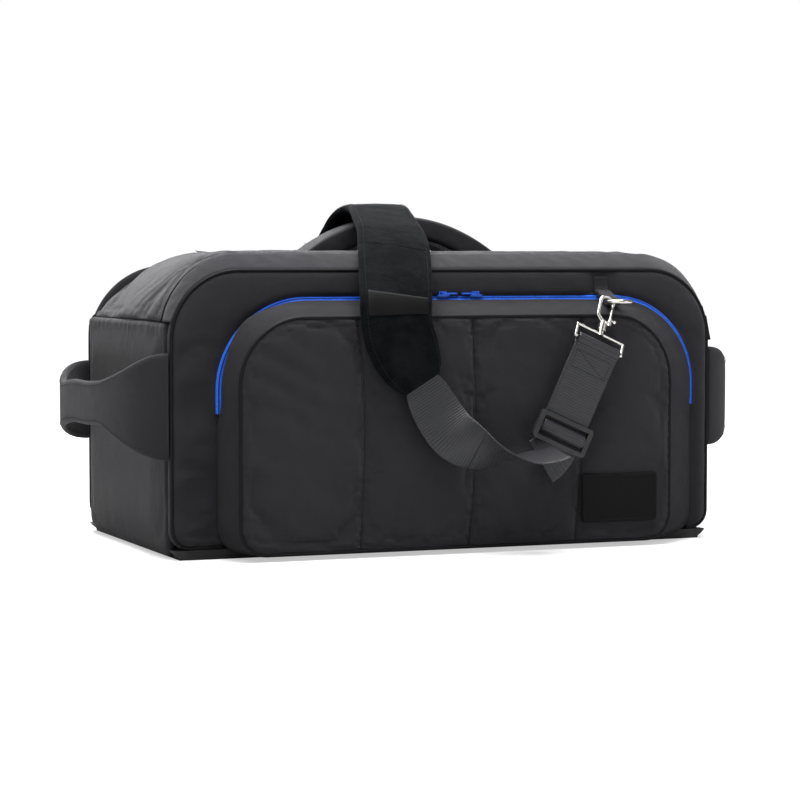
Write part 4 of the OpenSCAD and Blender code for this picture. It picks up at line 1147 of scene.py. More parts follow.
def lining():
    """An open box of cloth: its floor, its walls outside, its rim, and its walls and floor inside."""
    levels = [13.2, 20, 34, 50, 68, 88, 108, 128, 148, 168, 188, 204, 216, 222]
    walls = [lining_ring(0, z, 1.4 * math.sin(math.pi * (z - 13) / 212)) for z in levels]
    shrunk, nearly = [0.02, 0.02, 1], [0.99, 0.99, 1]
    base, floor = lining_ring(0, 13.0), lining_ring(1.4, 14.3)
    rings = [base * shrunk, base * nearly] + walls
    rings += [lining_ring(0, 224.6), lining_ring(0.5, 225.1), lining_ring(1.3, 224.6)]
    for ring in walls[:0:-1]:
        shift = -unit_rows(ring[:, :2] * (np.abs(ring[:, :2]) > np.array([275, 128])) + 1e-9) * 1.2
        rings.append(np.column_stack([ring[:, :2] + shift, np.maximum(ring[:, 2], 14.3)]))
    rings += [floor * nearly, floor * shrunk]
    count = len(base)
    piece = ring_stack("Lining", [np.vstack([ring, ring])[:count] for ring in rings])
    settle(piece, looks().liner, "liner_cloth", "bag", "lining")


def build_body():
    for build in (front_panel, padded_back, side_panels, front_rim, body_piping, back_yoke, lining):
        build()
    dress_node("base_tray", looks().rubber)
    dress_node("base_board", looks().plastic)


def build_dividers():
    m = looks()
    billow = Billow((-136, 136), (14, 204), lambda y, z: inside(DIVIDER, y, z) < 13, pressure=3.0, slack=0.02,
                    cap=1.3)
    for side, tag in SIDES:
        middle = side * 95.0

        def face(y, z, depth, s=1):
            groove = bell(depth, 12, 1.6)
            soft = (0.3 * ripples(y, z, 40 + side) + billow(y, z)) * smooth_step((depth - 12) / 12)
            return middle + s * (4.4 + 0.9 * smooth_step((depth - 13) / 25) - 1.3 * groove + soft)

        piece = panel(f"Divider {tag}", DIVIDER, face, lambda y, z, depth: face(y, z, depth, -1), 5,
                      place=sideways, rows=60, step=3.4)
        settle(piece, m.liner, "liner_cloth", "divider_" + tag, "divider_" + tag)


# ---------------------------------------------------------------- lid

def lid_front():
    """The lid's front edge seen from the front: points, outward normals, distances along it, and its y."""
    arch, turn = arch_points(BODY, CORNER_Z, (16, 60, 150))
    along = arc_lengths(arch)
    arch[0], arch[-1] = (-295, CORNER_Z), (295, CORNER_Z)
    return arch, turn, along, hinge_arc(LID_R, arch[:, 1])


def corner_creases(s, y, total):
    """Slanting creases at the two front corners, where the cloth turns over the arch."""
    warp = 7 * ripples(s, y, 57, shortest=40, longest=120)
    creases = 0
    for place, slant, size, wave, wide in ((58, 0.75, 1.5, 17, 24), (96, 0.62, 1.1, 23, 26),
                                           (136, 0.5, 0.8, 29, 30), (total - 62, -0.7, 1.2, 21, 26),
                                           (total - 118, -0.55, 0.8, 27, 30)):
        t = (s - place) * 0.9 + slant * (y + 95) + warp
        creases = creases + size * bell(t, 0, wide) * np.cos(t * 2 * math.pi / wave) * bell(y, -70, 62)
    return creases


def lid_cloth():
    m = looks()
    arch, turn, along, front_y = lid_front()
    total = along[-1]
    back_line = at_shares(back_arch(), along / total)
    back_turn = outward(back_line)
    v = np.linspace(0, 1, 72)
    v = 0.3 * v + 0.7 * (0.5 - 0.5 * np.cos(math.pi * v))
    y = front_y[:, None] + (HINGE_Y - front_y[:, None]) * v[None]
    s = np.broadcast_to(along[:, None], y.shape)
    edge = np.minimum(np.minimum(s, total - s), np.minimum(y - front_y[:, None], HINGE_Y - y))
    edge = np.maximum(edge, 0)
    edge[0], edge[-1], edge[:, 0], edge[:, -1] = 0, 0, 0, 0
    front_end = -130
    share = np.clip(((y - front_end) / (HINGE_Y - front_end))[..., None], 0, 1)
    base = arch[:, None] * (1 - share) + back_line[:, None] * share
    normal = unit_rows(turn[:, None] * (1 - share) + back_turn[:, None] * share)
    x, z = base[..., 0], base[..., 1]
    # The cloth lies flat between the handle's feet and below the shoulder pad
    feet = bell(x, 0, 150, 8) * bell(y, 0, 30, 8)
    below = bell(x, -108, 58, 6) * bell(y, 122, 42, 6)
    loose = (1 - feet) * (1 - 0.9 * below)

    def held(s, y):
        return ((y < -112) | (y > 142) | (s < 6) | (s > total - 6)
                | ((np.abs(s - total / 2) < 150) & (np.abs(y) < 24)))

    billow = Billow((0, total), (front_end, HINGE_Y), held, pressure=1.2, slack=0.02, cap=2.4, step=6)
    seam = bell(y - front_y[:, None], 13, 1.3)
    puffed = 1.2 * smooth_step(edge / 12)
    broad = 0.6 * ripples(s, y, 51, shortest=25, longest=120) * smooth_step(edge / 25)
    fine = 0.2 * ripples(s, y, 52, 9, 9, 30) * smooth_step(edge / 12)
    creases = corner_creases(s, y, total) * smooth_step(edge / 8) * user_sizes().wrinkles * 0.8
    lift = loose * (puffed + billow(s, y) + broad + fine + creases)
    lift = lift - 0.8 * seam * loose
    # Half of the lid's thickness, kept inside the body's outline
    half = 4
    full = rounding(edge, half)
    outer, inner = (np.stack([x + normal[..., 0] * off, y, z + normal[..., 1] * off], -1)
                    for off in (-half + (half + lift) * full, -half - half * full))
    piece = shell("Lid", outer, inner, np.stack([s, y], -1))
    # The lid takes the lighter copy of the bag cloth: painted highlight
    settle(piece, m.cloth_painted_lit, "cloth_top", "lid", "lid_panel")


def lid_zip():
    """The stitch row beside the lid's front seam, and the zip tapes and teeth at the opening."""
    m = looks()
    arch, turn, _, front_y = lid_front()
    rim_y = hinge_arc(RIM_R, arch[:, 1])
    up = at_level(turn, 0)
    line = beside(arch, turn, 1.1, front_y + 17)
    piece = stitched("Lid Stitches", [line[4:-4]], [up[4:-4]], material=m.thread_dark)
    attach(piece, "lid")
    tape_out = -8.8
    piece = tape("Lid Zip Tape", arch, turn, (tape_out, front_y + 0.1), (tape_out, front_y + 8), 6, up)
    settle(piece, m.zip_black, "plastic", "lid", "lid_zip_upper")
    piece = tape("Rim Zip Tape", arch, turn, (tape_out, rim_y - 7), (tape_out, rim_y - 0.1), 6, up)
    settle(piece, m.zip_black, "plastic", "bag", "lid_zip_lower")
    # Dark cords along both edges of the opening: painted shade in the gap between lid and rim
    for name, y, body in (("Lid Zip Painted Shade Cord", front_y + 0.9, "lid"), ("Rim Zip Painted Shade Cord", rim_y - 1.1, "bag")):
        piece = tube(name, beside(arch, turn, -0.3, y), 1.0, sides=8)
        settle(piece, m.zip_black, "plastic", body)
    for name, y, body in (("Lid Zip Teeth", front_y + 1.2, "lid"), ("Rim Zip Teeth", rim_y - 1.0, "bag")):
        piece = teeth(name, beside(arch, turn, -8.1, y), up, m.black_coil, 0.55, 0.0034, 0.0016)
        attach(piece, body)


def build_lid():
    lid_cloth()
    lid_zip()


# ---------------------------------------------------------------- handles

def crescent(name, x, low, high, half_y, bumps=0.0):
    """A padded arch between a lower and an upper line: its section is a rounded oblong."""
    cy, cz = oblong(np.linspace(0, 2 * math.pi, 40, endpoint=False), 0.3, 0.3)
    rings = []
    for k in range(len(x)):
        half = (high[k] - low[k]) / 2
        ridge = 1 + bumps * math.sin(x[k] / 3.2) * (half > 1)
        rings.append(np.stack([x[k] + 0 * cy, half_y * cy, (high[k] + low[k]) / 2 + half * cz * ridge], 1))
    return ring_stack(name, rings)


def carrying_handle():
    m = looks()
    reach, foot_z = 110, 298.02
    # Centre and radius of the arc below the handle
    hole_z, hole_r, hole_half = 188.98, 128.3, 67.4
    across = np.sin(np.linspace(-math.pi / 2, math.pi / 2, 110))
    x = reach * across * 0.999
    top = 166.77 + np.sqrt(171.25 ** 2 - x ** 2) + 0.6 * np.cos(x / reach * math.pi / 2)
    hole = hole_z + np.sqrt(np.maximum(hole_r ** 2 - x ** 2, 0))
    low = np.where((np.abs(x) < hole_half) & (hole > foot_z), hole, foot_z)
    piece = crescent("Carrying Handle", x, low, np.maximum(top, low + 0.4), 20)
    settle(piece, m.cloth, "cloth", "lid", "top_handle")
    x = 62 * np.sin(np.linspace(-math.pi / 2, math.pi / 2, 120))
    over = hole_z + np.sqrt(128.0 ** 2 - x ** 2)
    under = np.maximum(hole_z + np.sqrt(np.maximum(123.1 ** 2 - x ** 2, 0)), foot_z + 0.03)
    piece = crescent("Handle Grip", x, under, np.maximum(over, under + 0.3), 17, bumps=0.10)
    settle(piece, m.mesh, "liner_cloth", "lid", "top_handle_grip")


def foot_patches():
    """Plates over the handle's feet, with box-and-cross stitching."""
    m = looks()
    half_x, half_y, plate_z = 17, 20, 298.9
    lines = []
    for side, tag in SIDES:
        cx = side * 127.3
        gx, gy = np.meshgrid(cx + np.linspace(-half_x, half_x, 12), np.linspace(-half_y, half_y, 12))
        full = rounding(np.minimum(half_x - np.abs(gx - cx), half_y - np.abs(gy)), 1.2)
        up, down = (np.stack([gx, gy, plate_z + high * full], -1) for high in (0.75, -0.8))
        piece = shell("Foot Patch " + tag, up, down)
        settle(piece, m.webbing, "webbing", "lid", "handle_patches")
        box = [(-13, -16), (13, -16), (13, 16), (-13, 16), (-13, -16)]
        for route in (box, [(-13, -16), (13, 16)], [(-13, 16), (13, -16)]):
            dense = dense_line(np.array(route))
            lines.append(np.column_stack([dense[:, 0] + cx, dense[:, 1], dense[:, 0] * 0 + plate_z + 0.8]))
    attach(stitched("Foot Stitches", lines, [(0, 0, 1)] * len(lines)), "lid")


def side_handles():
    """Straps that bow out from the front seam to the back seam, with a row of stitches beside each edge."""
    m = looks()
    for side, tag in SIDES:
        u = np.sin(np.linspace(-math.pi / 2, math.pi / 2, 400))
        out = (1 - np.abs(u) ** 3) ** (1 / 2.2)
        line = np.stack([side * (295.4 + 49 * out), -1 + (145 - 4 * np.abs(out)) * u, 0 * u + 150, u], 1)
        line = smooth_line(line[::4], 120)
        path, u = line[:, :3], line[:, 3]
        half = 22 + np.where(u < 0, 30, 20) * np.maximum(0, (np.abs(u) - 0.45) / 0.55) ** 1.6
        path = path - np.stack([0 * u, 0 * u, 7 * smooth_step((u + 0.2) / 1.1)], 1)
        path = path + np.stack([0 * u, 0 * u, 0.8 * np.sin(u * 9)], 1)
        piece = sweep(f"Side Handle {tag}", path, np.tile([0, 0, 1.0], (len(path), 1)), 2 * half, 8.0,
                      pad_profile(0.22, 44))
        settle(piece, m.cloth, "cloth_top", "bag", "side_handle_" + tag)
        normal = np.cross(unit_rows(np.gradient(path, axis=0)), [0, 0, 1.0])
        normal = unit_rows(unit_rows(normal) * (np.sign(normal[:, :1] * side) + 1e-9))
        lines, ups = [], []
        for s in (-1, 1):
            row = path + np.stack([0 * half, 0 * half, s * (half - 4.5)], 1)
            for face in (-1, 1):
                lines.append((row + normal * face * 3.95)[6:-6])
                ups.append((normal * face)[6:-6])
        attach(stitched(f"Side Handle Stitches {tag}", lines, ups), "bag")


def build_handles():
    carrying_handle()
    foot_patches()
    side_handles()


# ---------------------------------------------------------------- front pocket

# The three sewn seams of the pocket's face: heights, and the places across at these heights
SEAM_POINTS = (((9, 107, 165, 204, 243), (-114, -110, -109, -114, -119)),
               ((6, 54, 113, 173, 243), (1, 6, 9, 8, 5)),
               ((9, 50, 110, 171, 240), (119, 123, 127, 127, 125)))
SEAMS = [np.poly1d(np.polyfit(z, x, 3)) for z, x in SEAM_POINTS]


def seam_distance(x, z):
    return np.minimum.reduce([np.abs(x - s(z)) for s in SEAMS])


def face_billow():
    if "pocket" not in SHARED:
        SHARED["pocket"] = Billow((-237, 226), (7, 236), lambda x, z: (inside(FACE, x, z) < 5)
                                  | (seam_distance(x, z) < 3.4), step=4.0, pressure=3.0, slack=0.03, cap=2.6)
    return SHARED["pocket"]


def face_front(x, z):
    """The pocket face: flat panels with a little loft between sewn seams, puckered beside them."""
    wrinkles = user_sizes().wrinkles
    depth = np.maximum(inside(FACE, x, z), 0)
    near = seam_distance(x, z)
    close = np.minimum(near, depth)
    # The face is pressed in below the snap hook, and lies flat behind the patch
    hook = 1 - 0.6 * bell(x, 140, 45, 4) * bell(z, 205, 45, 4)
    behind_patch = bell(x, PATCH[1], 52, 8) * bell(z, z_mid(PATCH), 34, 8)
    # Millimetres of loft for each metre set
    fullness = 400
    loft = (1 - np.exp(-close / 13)) * user_sizes().loft * fullness + 1.6 * (1 - bell(near, 0, 5))
    pucker = 0.42 * bell(close, 0, 7) * (np.sin(z / 1.35 + x / 9) + 0.6 * np.sin(z / 2.6 + 1.7))
    pucker = pucker * np.clip(near / 1.5, 0, 1)
    wave = wrinkles * (2.1 * ripples(x, z, 61, shortest=34, longest=130) + 0.9 * ripples(x, z, 63, 8, 16, 60)
                       + 0.4 * ripples(x, z, 62, 9, 8, 26)) * smooth_step(close / 12)
    # Folds that run down from the corner where the zip starts
    t = (x + 215) * 0.45 + (z - 190) * 0.9
    folds = wrinkles * 1.3 * bell(x, -185, 45) * bell(t, 0, 38) * np.cos(t * 2 * math.pi / 24)
    wave = wave + folds * smooth_step(close / 14)
    groove = 1.3 * bell(near, 0, 1.3)
    rise = loft + wave * (1 - behind_patch) + pucker + face_billow()(x, z) * (1 - 0.8 * behind_patch)
    rise = rise * hook - groove
    most = 5.6
    return FACE_Y + 2.2 - most * np.tanh(rise / most)


def pocket_face():
    m = looks()
    piece = panel("Pocket Face", FACE, lambda x, z, depth: face_front(x, z), flat(FACE_Y + 6), 3, seams=SEAMS,
                  rows=130, step=2.2, sides=30)
    bend_pocket(piece, m.cloth, "cloth", "pocket_face_lower", "pocket_face_upper")


def pocket_gusset():
    """From the face back to the zip, or to the bag below the zip's ends."""
    m = looks()
    counts = (30, 24, 100, 10, 90)
    a, turn_a = loop_points(FACE, counts, inset=-0.2)
    b, turn_b = loop_points(ZIP, counts)
    open_z = smooth_step((b[:, 1] - 128) / 26)
    b = b - turn_b * (2.4 * open_z)[:, None]
    y_face, thickness = -191.2, 2.4
    y_back = FRONT_Y - 0.5 - 5.6 * open_z
    along = arc_lengths(a)
    outer, inner = [], []
    for v in np.linspace(0, 1, 17):
        p, turn = a + (b - a) * v, unit_rows(turn_a + (turn_b - turn_a) * v)
        x, z = p.T
        y = y_face + (y_back - y_face) * v
        right = smooth_step((x - 120) / 60)
        low = smooth_step((150 - z) / 100)
        fold = (0.9 + 0.5 * right) * ripples(along * 0.9 + y * 0.25, y * 1.3, 71, 8, 16, 70)
        gathers = np.sin(along / 2.6 + 1.5 * np.sin(along / 11))
        fold = fold + 0.7 * right * smooth_step((z - 150) / 40) * gathers
        creases = 1.3 * right * low * np.sin(along / 5.5 + y / 6.0) * math.sin(math.pi * v)
        corner = bell(x, -222, 34) * bell(z, 226, 30)
        belly = (2.6 - 1.8 * right * open_z + 8.5 * corner) * math.sin(math.pi * min(v, 0.97) ** 1.5) ** 0.6
        push = belly + (fold * user_sizes().wrinkles + creases) * math.sin(math.pi * v) ** 0.7
        push = np.where(z < 12, np.minimum(push, 1.5), push)
        outer.append(at_level(p + turn * push[:, None], y))
        inner.append(at_level(p + turn * (push - thickness)[:, None], y))
    piece = ring_stack("Pocket Gusset", outer + inner[::-1], closed=True)
    # The gusset takes the darker copy of the bag cloth: painted shade
    bend_pocket(piece, m.gusset_painted_shade, "cloth", "pocket_gusset_lower", "pocket_gusset_upper")


def pocket_piping():
    p, _ = loop_points(FACE, (40, 26, 110, 10, 100), inset=-0.3)
    piece = tube("Pocket Piping", at_level(p, FACE_Y + 1.8), 1.9, closed=True)
    # The pocket piping is painted dark: painted shade along the seam
    bend_pocket(piece, looks().piping_painted_shade, "cloth", "pocket_piping_lower", "pocket_piping_upper")


def pocket_stitches():
    """A row of stitches beside each seam of the pocket's face."""
    z = np.linspace(14, 231, 90)
    lines = []
    for s in SEAMS:
        x = s(z) - 2.0
        lines.append(np.stack([x, face_front(x, z) - 0.25, z], 1))
    piece = stitched("Pocket Stitches", lines, [(0, -1, 0)] * len(lines), material=looks().thread_dark)
    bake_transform(piece)


def pocket_zip():
    """Slanting tapes with a coil on each half, a welt above them, and a thin dark cord between them: painted
    shade in the gap.
    """
    m = looks()
    arch, turn = arch_points(ZIP, FOLD_Z + 0.4, (12, 40, 110))
    up = at_level(turn, -1.0)
    thickness = unit_rows(up) * 0.9
    piece = tape("Pocket Zip Tape", arch, turn, (3.2, -150.9), (0.3, -153.7), 5, thickness)
    settle(piece, m.zip_tape, "blue_zip", "bag", "pocket_zip_bag")
    piece = tape("Pocket Flap Zip Tape", arch, turn, (-0.2, -154.2), (-2.2, -156.2), 5, thickness)
    settle(piece, m.zip_tape, "blue_zip", "pocket_flap", "pocket_zip_flap")
    piece = tube("Pocket Zip Welt", beside(arch, turn, 3.6, -150.9), 1.25)
    settle(piece, m.cloth, "cloth", "bag")
    # A thin dark cord between the two halves: painted shade in the gap
    piece = tube("Pocket Zip Painted Shade Line", beside(arch, turn, 0.1, -154.35), 0.5, sides=6)
    settle(piece, m.zip_black, "plastic", "bag")
    for name, out, y, body in (("Pocket", 1.0, -153.3, "bag"), ("Flap", -0.6, -155.1, "pocket_flap")):
        piece = teeth(name + " Zip Teeth", beside(arch, turn, out, y), up, m.coil, 0.6, 0.0014, 0.0012)
        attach(piece, body)


def pocket_patch():
    """The bare patch with its sewn border."""
    m = looks()
    patch_y = -199.4
    piece = panel("Pocket Patch", PATCH, flat(patch_y), flat(-195.6), 1.2, rows=24, step=4, sides=8)
    settle(piece, m.label, "plastic", "bag", "pocket_patch")
    ring, _ = loop_points(PATCH, (16, 5, 20, 5, 24), inset=2.5)
    ring = np.vstack([ring, ring[:1]])
    piece = stitched("Pocket Patch Stitches", [at_level(ring, patch_y - 0.1)], [(0, -1, 0)],
                     pitch=0.0026, material=m.thread_dark)
    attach(piece, "bag")


def pocket_organiser():
    """Organiser sleeves inside, with a seam every quarter of its width."""
    w, middle = ORGANISER[:2]
    sleeve = w / 4

    def front(x, z, depth):
        from_seam = np.abs(np.mod(x - middle + w / 2, sleeve) - sleeve / 2) - sleeve / 2
        return -153.2 + 0.8 * np.exp(-from_seam ** 2 / 2) + 0 * z

    piece = panel("Pocket Organiser", ORGANISER, front, flat(-150.35), 1.2, rows=30, step=4, sides=8)
    settle(piece, looks().liner, "liner_cloth", "bag", "pocket_organizer")


def build_pocket():
    for build in (pocket_face, pocket_gusset, pocket_piping, pocket_stitches, pocket_zip, pocket_patch,
                  pocket_organiser):
        build()


# ---------------------------------------------------------------- strap

# Stations: place, direction across, and width, as a share of the pad's width or in millimetres
PAD_W = 74
PAD_STATIONS = np.array([
    (-54, -207.5, 170, .97, 0, .22, .56), (-60, -208, 180, .97, 0, .2, .78),
    (-69, -208, 197, .99, 0, .1, .94), (-78, -208, 218, 1, 0, 0, 1),
    (-81, -206.5, 238, 1, -.02, 0, 1), (-79, -201, 256, .99, -.06, -.06, 1),
    (-72, -181, 279, .96, -.2, -.15, 1), (-62, -153, 301, .95, -.24, -.14, 1),
    (-52, -122, 318, .95, -.25, -.13, .97), (-42, -80, 331, .96, -.24, -.08, .92),
    (-32, -40, 341.5, .97, -.18, -.05, .88), (-26, -18, 345, .96, -.05, 0, .86),
    (-24, 4, 345.6, .95, .15, 0, .86), (-28, 22, 344, .95, .3, 0, .88), (-34, 33, 337.5, .94, .33, .06, .9),
    (-38, 43, 326, .93, .33, .1, .92), (-42, 53, 315, .92, .36, .1, .92), (-48, 64, 307.5, .88, .46, .04, .9),
    (-56, 76, 305.2, .84, .54, 0, .8), (-61, 84, 304.8, .82, .57, 0, .6)])
FRONT_STATIONS = np.array([
    (-55.5, -207.6, 172.5, .97, 0, .22, 36), (-49.5, -207.2, 162.5, .97, 0, .22, 45),
    (-39, -208, 144, .9, -.05, .42, WEB_W), (-24, -214, 121, .78, -.22, .58, WEB_W),
    (-2, -222, 105, .5, -.66, .56, WEB_W), (24, -230, 97, .16, -.95, .26, WEB_W),
    (48, -233, 96, .12, -.98, -.1, WEB_W), (68, -234, 98, .16, -.97, -.16, 48),
    (84, -233, 102, .22, -.95, -.18, 42)])
# Where the pad, the front webbing and the back webbing are split in two, and where the pad's patch lies
SPLIT, FRONT_SPLIT = np.array([-62, -153, 301.0]), np.array([-2, -222, 105.0])
BACK_CUT = np.array([-147, 163.4, 300.0])
PAD_PATCH = np.array([-80, -203.75, 247])
# The back loop's bar and the way up from it
LOOP_BACK, UP_BACK = np.array([-148.6, 169.4, 281.8]), np.array([0.125, -0.438, 0.890])
# The front loop's bar, with the axes of the webbing that hangs from it: across, outwards and up
DROP_AT, DROP_X = np.array([135.58, -212.29, 206.38]), np.array([0.9135, 0, -0.4067])
DROP_Y, DROP_Z = np.array([0.0213, 0.9986, 0.0478]), np.array([0.4062, -0.0523, 0.9123])
WEBBING = flat_profile(0.1, 12)


def nearest(line, point):
    return int(np.argmin(np.linalg.norm(line[:, :3] - point, axis=1)))


def band(name, line, thick, profile, bump=None):
    return sweep(name, line[:, :3], line[:, 3:6], line[:, 6], thick, profile, bump)


def face_line(line, share, lift):
    """A line on a band's outer face, at a share of its half width, and the face's direction."""
    way = unit_rows(np.gradient(line[:, :3], axis=0))
    across = unit_rows(line[:, 3:6] - way * np.sum(line[:, 3:6] * way, 1, keepdims=True))
    out = -np.cross(way, across)
    return line[:, :3] + across * (line[:, 6:7] / 2 * share) + out * lift, out


def way_at(line, k):
    """Direction of a line at one of its points."""
    return unit_rows(line[k + 1:k + 2, :3] - line[k - 1:k, :3])[0]


def shoulder_pad():
    """The pad in two halves, with its stitches and its bare patch."""
    m = looks()
    stations = PAD_STATIONS.copy()
    stations[:, 6] *= PAD_W
    line = smooth_line(stations, 230)
    cut = nearest(line, SPLIT)
    way = way_at(line, cut)
    along = arc_lengths(line[:, :3])
    thick = 12 * rounding(np.minimum(along, along[-1] - along), 12, 0.03)
    profile = pad_profile(0.3, 48)

    def quilt(i, side):
        return 0.05 * np.sin(i / 2.6 + side * 3) * (1 - np.abs(side)) + 0.03 * np.sin(i / 6.1 + side * 5)

    start = line[cut, :3]
    front_end, top_end = start - way * 62, start + way * 30
    piece = band("Shoulder Pad Front", line[:cut + 1], thick[:cut + 1], profile, quilt)
    bend(piece, m.velour, "velour", "bag", "pocket_flap", start, front_end, "strap_pad")
    piece = band("Shoulder Pad Top", line[cut:], thick[cut:], profile, quilt)
    bend(piece, m.velour, "velour", "bag", "lid", start, top_end, "strap_pad")

    rows = [face_line(line, share, 5.4) for share in (-0.86, 0.86)]
    for name, part, body, end in (("Pad Front Stitches", slice(4, cut), "pocket_flap", front_end),
                                  ("Pad Top Stitches", slice(cut, -4), "lid", top_end)):
        piece = stitched(name, [points[part] for points, _ in rows], [out[part] for _, out in rows])
        bend(piece, m.thread_dark, "velour", "bag", body, start, end)

    middle = nearest(line, PAD_PATCH)
    reach = np.abs(along - along[middle]) < 9.6
    points, _ = face_line(line[reach], 0, 6.4)
    patch = np.column_stack([points, line[reach, 3:6], np.full(reach.sum(), 62.0)])
    piece = band("Pad Patch", patch, 1.6, flat_profile(0.05))
    bend(piece, m.label, "plastic", "bag", "pocket_flap", start, front_end, "pad_patch")


def front_webbing():
    """The loose run from the pad to the strap slider, in two parts."""
    m = looks()
    run = smooth_line(FRONT_STATIONS, 120)
    cut = nearest(run, FRONT_SPLIT)
    piece = band("Webbing Front Upper", run[:cut + 1], 1.9, WEBBING)
    bend(piece, m.webbing, "webbing", "bag", "pocket_flap", (0, 0, 140), (0, 0, 166), "webbing_front")
    piece = band("Webbing Front Lower", run[cut:], 1.9, WEBBING)
    start = run[cut, :3]
    bend(piece, m.webbing, "webbing", "bag", "strap_end_front", start, start + way_at(run, cut) * 60,
         "webbing_front")


def webbing_drop():
    """Webbing round the front loop's bar, laced over the strap slider's bar, with its tail and stitches."""
    m = looks()
    # Seen from its edge, from the slider up, round the loop's bar and down again: distance out, and height
    bar_r = 3.9
    route = [(-1.1, -108), (-1.1, -105.6), (-3, -102.9), (-6.4, -101.4), (-8.1, -98.6), (-8.1, -93.4),
             (-6.4, -90.6), (-3, -89.1), (-1.1, -86.4), (-1.1, -78), (-1.1, -40), (-1.2, -9), (-2.9, -4.2),
             (-bar_r, 0)]
    route += [(bar_r * math.cos(t), bar_r * math.sin(t)) for t in np.radians(np.linspace(180, 0, 13))[1:-1]]
    route += [(bar_r, 0), (2.9, -4.2), (1.2, -9), (1.1, -40), (1.1, -78), (1.1, -108)]
    rows = [np.concatenate([DROP_AT + DROP_Y * y + DROP_Z * z, DROP_X, [WEB_W]]) for y, z in route]
    piece = band("Webbing Drop", smooth_line(rows, 190), 1.8, WEBBING)
    settle(piece, m.webbing, "webbing", "strap_end_front", "webbing_drop")

    top, low = DROP_AT - DROP_Z * 107.8, DROP_AT - DROP_Z * 116.5
    route = ((top, DROP_X), (low, DROP_X), (low + [-6, .6, -6], [.88, -.08, -.45]),
             (low + [-13, 1, -10], [.84, -.14, -.5]))
    rows = [np.concatenate([p, across, [WEB_W - 1]]) for p, across in route]
    piece = band("Webbing Tail", smooth_line(rows, 30), 1.9, WEBBING)
    settle(piece, m.webbing, "webbing", "strap_end_front", "webbing_tail")

    # A box of stitches where the webbing is sewn below the loop
    box = dense_line(np.array([(-20, -12), (20, -12), (20, -30), (-20, -30), (-20, -12), (20, -30)]))
    line = DROP_AT + box[:, :1] * DROP_X + box[:, 1:] * DROP_Z - DROP_Y * 2.1
    piece = stitched("Drop Stitches", [line], [-DROP_Y])
    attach(piece, "strap_end_front")


def back_webbing():
    """Webbing from the pad over the back edge, and down round the back loop's bar."""
    m = looks()
    across = [.99, 0, -.139]
    stations = [(-57, 77.5, 302.6, .82, .57, 0, 40), (-66, 91.5, 302.6, .82, .57, 0, 46),
                (-80, 105, 300.2, .8, .6, 0, WEB_W), (-107, 125, 299.8, .6, .8, 0, WEB_W),
                (-131, 141, 300.2, .75, .66, 0, WEB_W), (-144, 154.5, 300.6, 1, .25, 0, WEB_W),
                (-147, 163.4, 298.8, .99, .05, -.139, WEB_W)]
    stations += [np.concatenate([LOOP_BACK + UP_BACK * above, across, [WEB_W]]) for above in (14, 6)]
    back = smooth_line(np.array(stations), 110)
    cut = nearest(back, BACK_CUT)
    piece = band("Webbing Back Upper", back[:cut + 1], 1.9, WEBBING)
    bend(piece, m.webbing, "webbing", "lid", "bag", (0, 140, 0), (0, 157, 0), "webbing_back")
    out, bar_r = np.cross(across, UP_BACK), 3.2
    wrap = []
    for t in np.radians(np.linspace(90, -215, 15))[3:]:
        place = LOOP_BACK + out * bar_r * math.cos(t) + UP_BACK * bar_r * math.sin(t)
        wrap.append(np.concatenate([place, across, [WEB_W]]))
    lower = np.vstack([back[cut:-1:3], back[-1], wrap])
    piece = band("Webbing Back Lower", smooth_line(lower, 110), 1.8, WEBBING)
    bend(piece, m.webbing, "webbing", "bag", "strap_end_back", back[cut, :3], LOOP_BACK + UP_BACK * 5,
         "webbing_back")


def ring_tab(tag, body, x, sew, ring, rise, material):
    """A tab of webbing, sewn on at one place, that goes round a ring's bar and back."""
    sew, ring = np.array(sew), np.array(ring)
    way = unit_rows((ring - sew)[None])[0]
    side = np.array([-way[1], way[0]])
    path = [sew + [0, rise], sew + [0, rise * 0.5], sew + [0, rise * 0.12] + way * 0.8]
    path += [sew + way * 5 + side * 0.95, ring - way * 5 + side * 1.1]
    begin = math.atan2(side[1], side[0])
    for t in begin - np.linspace(0.15, math.pi - 0.15, 9):
        path.append(ring + 3.15 * np.array([math.cos(t), math.sin(t)]))
    path += [ring - way * 5 - side * 1.1, sew + way * 5 - side * 0.95]
    rows = [np.array([x, p[0], p[1], 1, 0, 0, 15.5]) for p in path]
    piece = band(f"{tag} Ring Tab", smooth_line(rows, 90), 1.4, flat_profile(0.15, 7))
    bend(piece, material, "webbing", "bag", body, (x, *sew), (x, *(sew + way * 7)), "tab_" + tag.lower(),
         f"tab_{tag.lower()}_sewn")


def build_strap():
    m = looks()
    for build in (shoulder_pad, front_webbing, webbing_drop, back_webbing):
        build()
    ring_tab("Front", "strap_end_front", RING_X, (-151.9, RING_TAB_Z), (-180.0, 250.0), 13.0, m.cloth)
    ring_tab("Back", "strap_end_back", -RING_X, (166.9, 228.0), (179.0, 236.0), -14.0, m.tab)


def dress_hardware():
    m = looks()
    for end in ("front", "back"):
        for kind in ("ring", "loop", "hook", "bolt"):
            dress_node(f"{kind}_{end}", m.nickel)
    for _, tag in SIDES:
        dress_node("pocket_slider_" + tag, m.blue_metal)
        dress_node("pocket_pull_" + tag, m.blue_metal)
    dress_node("strap_slider", m.plastic)
    dress_node("main_slider", m.plastic)
    dress_node("main_pull", m.tab)


# ---------------------------------------------------------------- stage

def add_camera():
    scene = bpy.context.scene
    scene.camera = add_object("Camera", bpy.data.cameras.new("Camera"))
    lens = scene.camera.data
    lens.lens, lens.sensor_width, lens.clip_end = 114.5, 36.0, 50
    azimuth, rise, reach = math.radians(-21.94), math.radians(3.04), 2.713
    target = Vector((0.006, 0, 0.1435))
    away = Vector((math.sin(azimuth) * math.cos(rise), -math.cos(azimuth) * math.cos(rise), math.sin(rise)))
    scene.camera.location = target + away * reach
    scene.camera.rotation_euler = (-away).to_track_quat("-Z", "Y").to_euler()


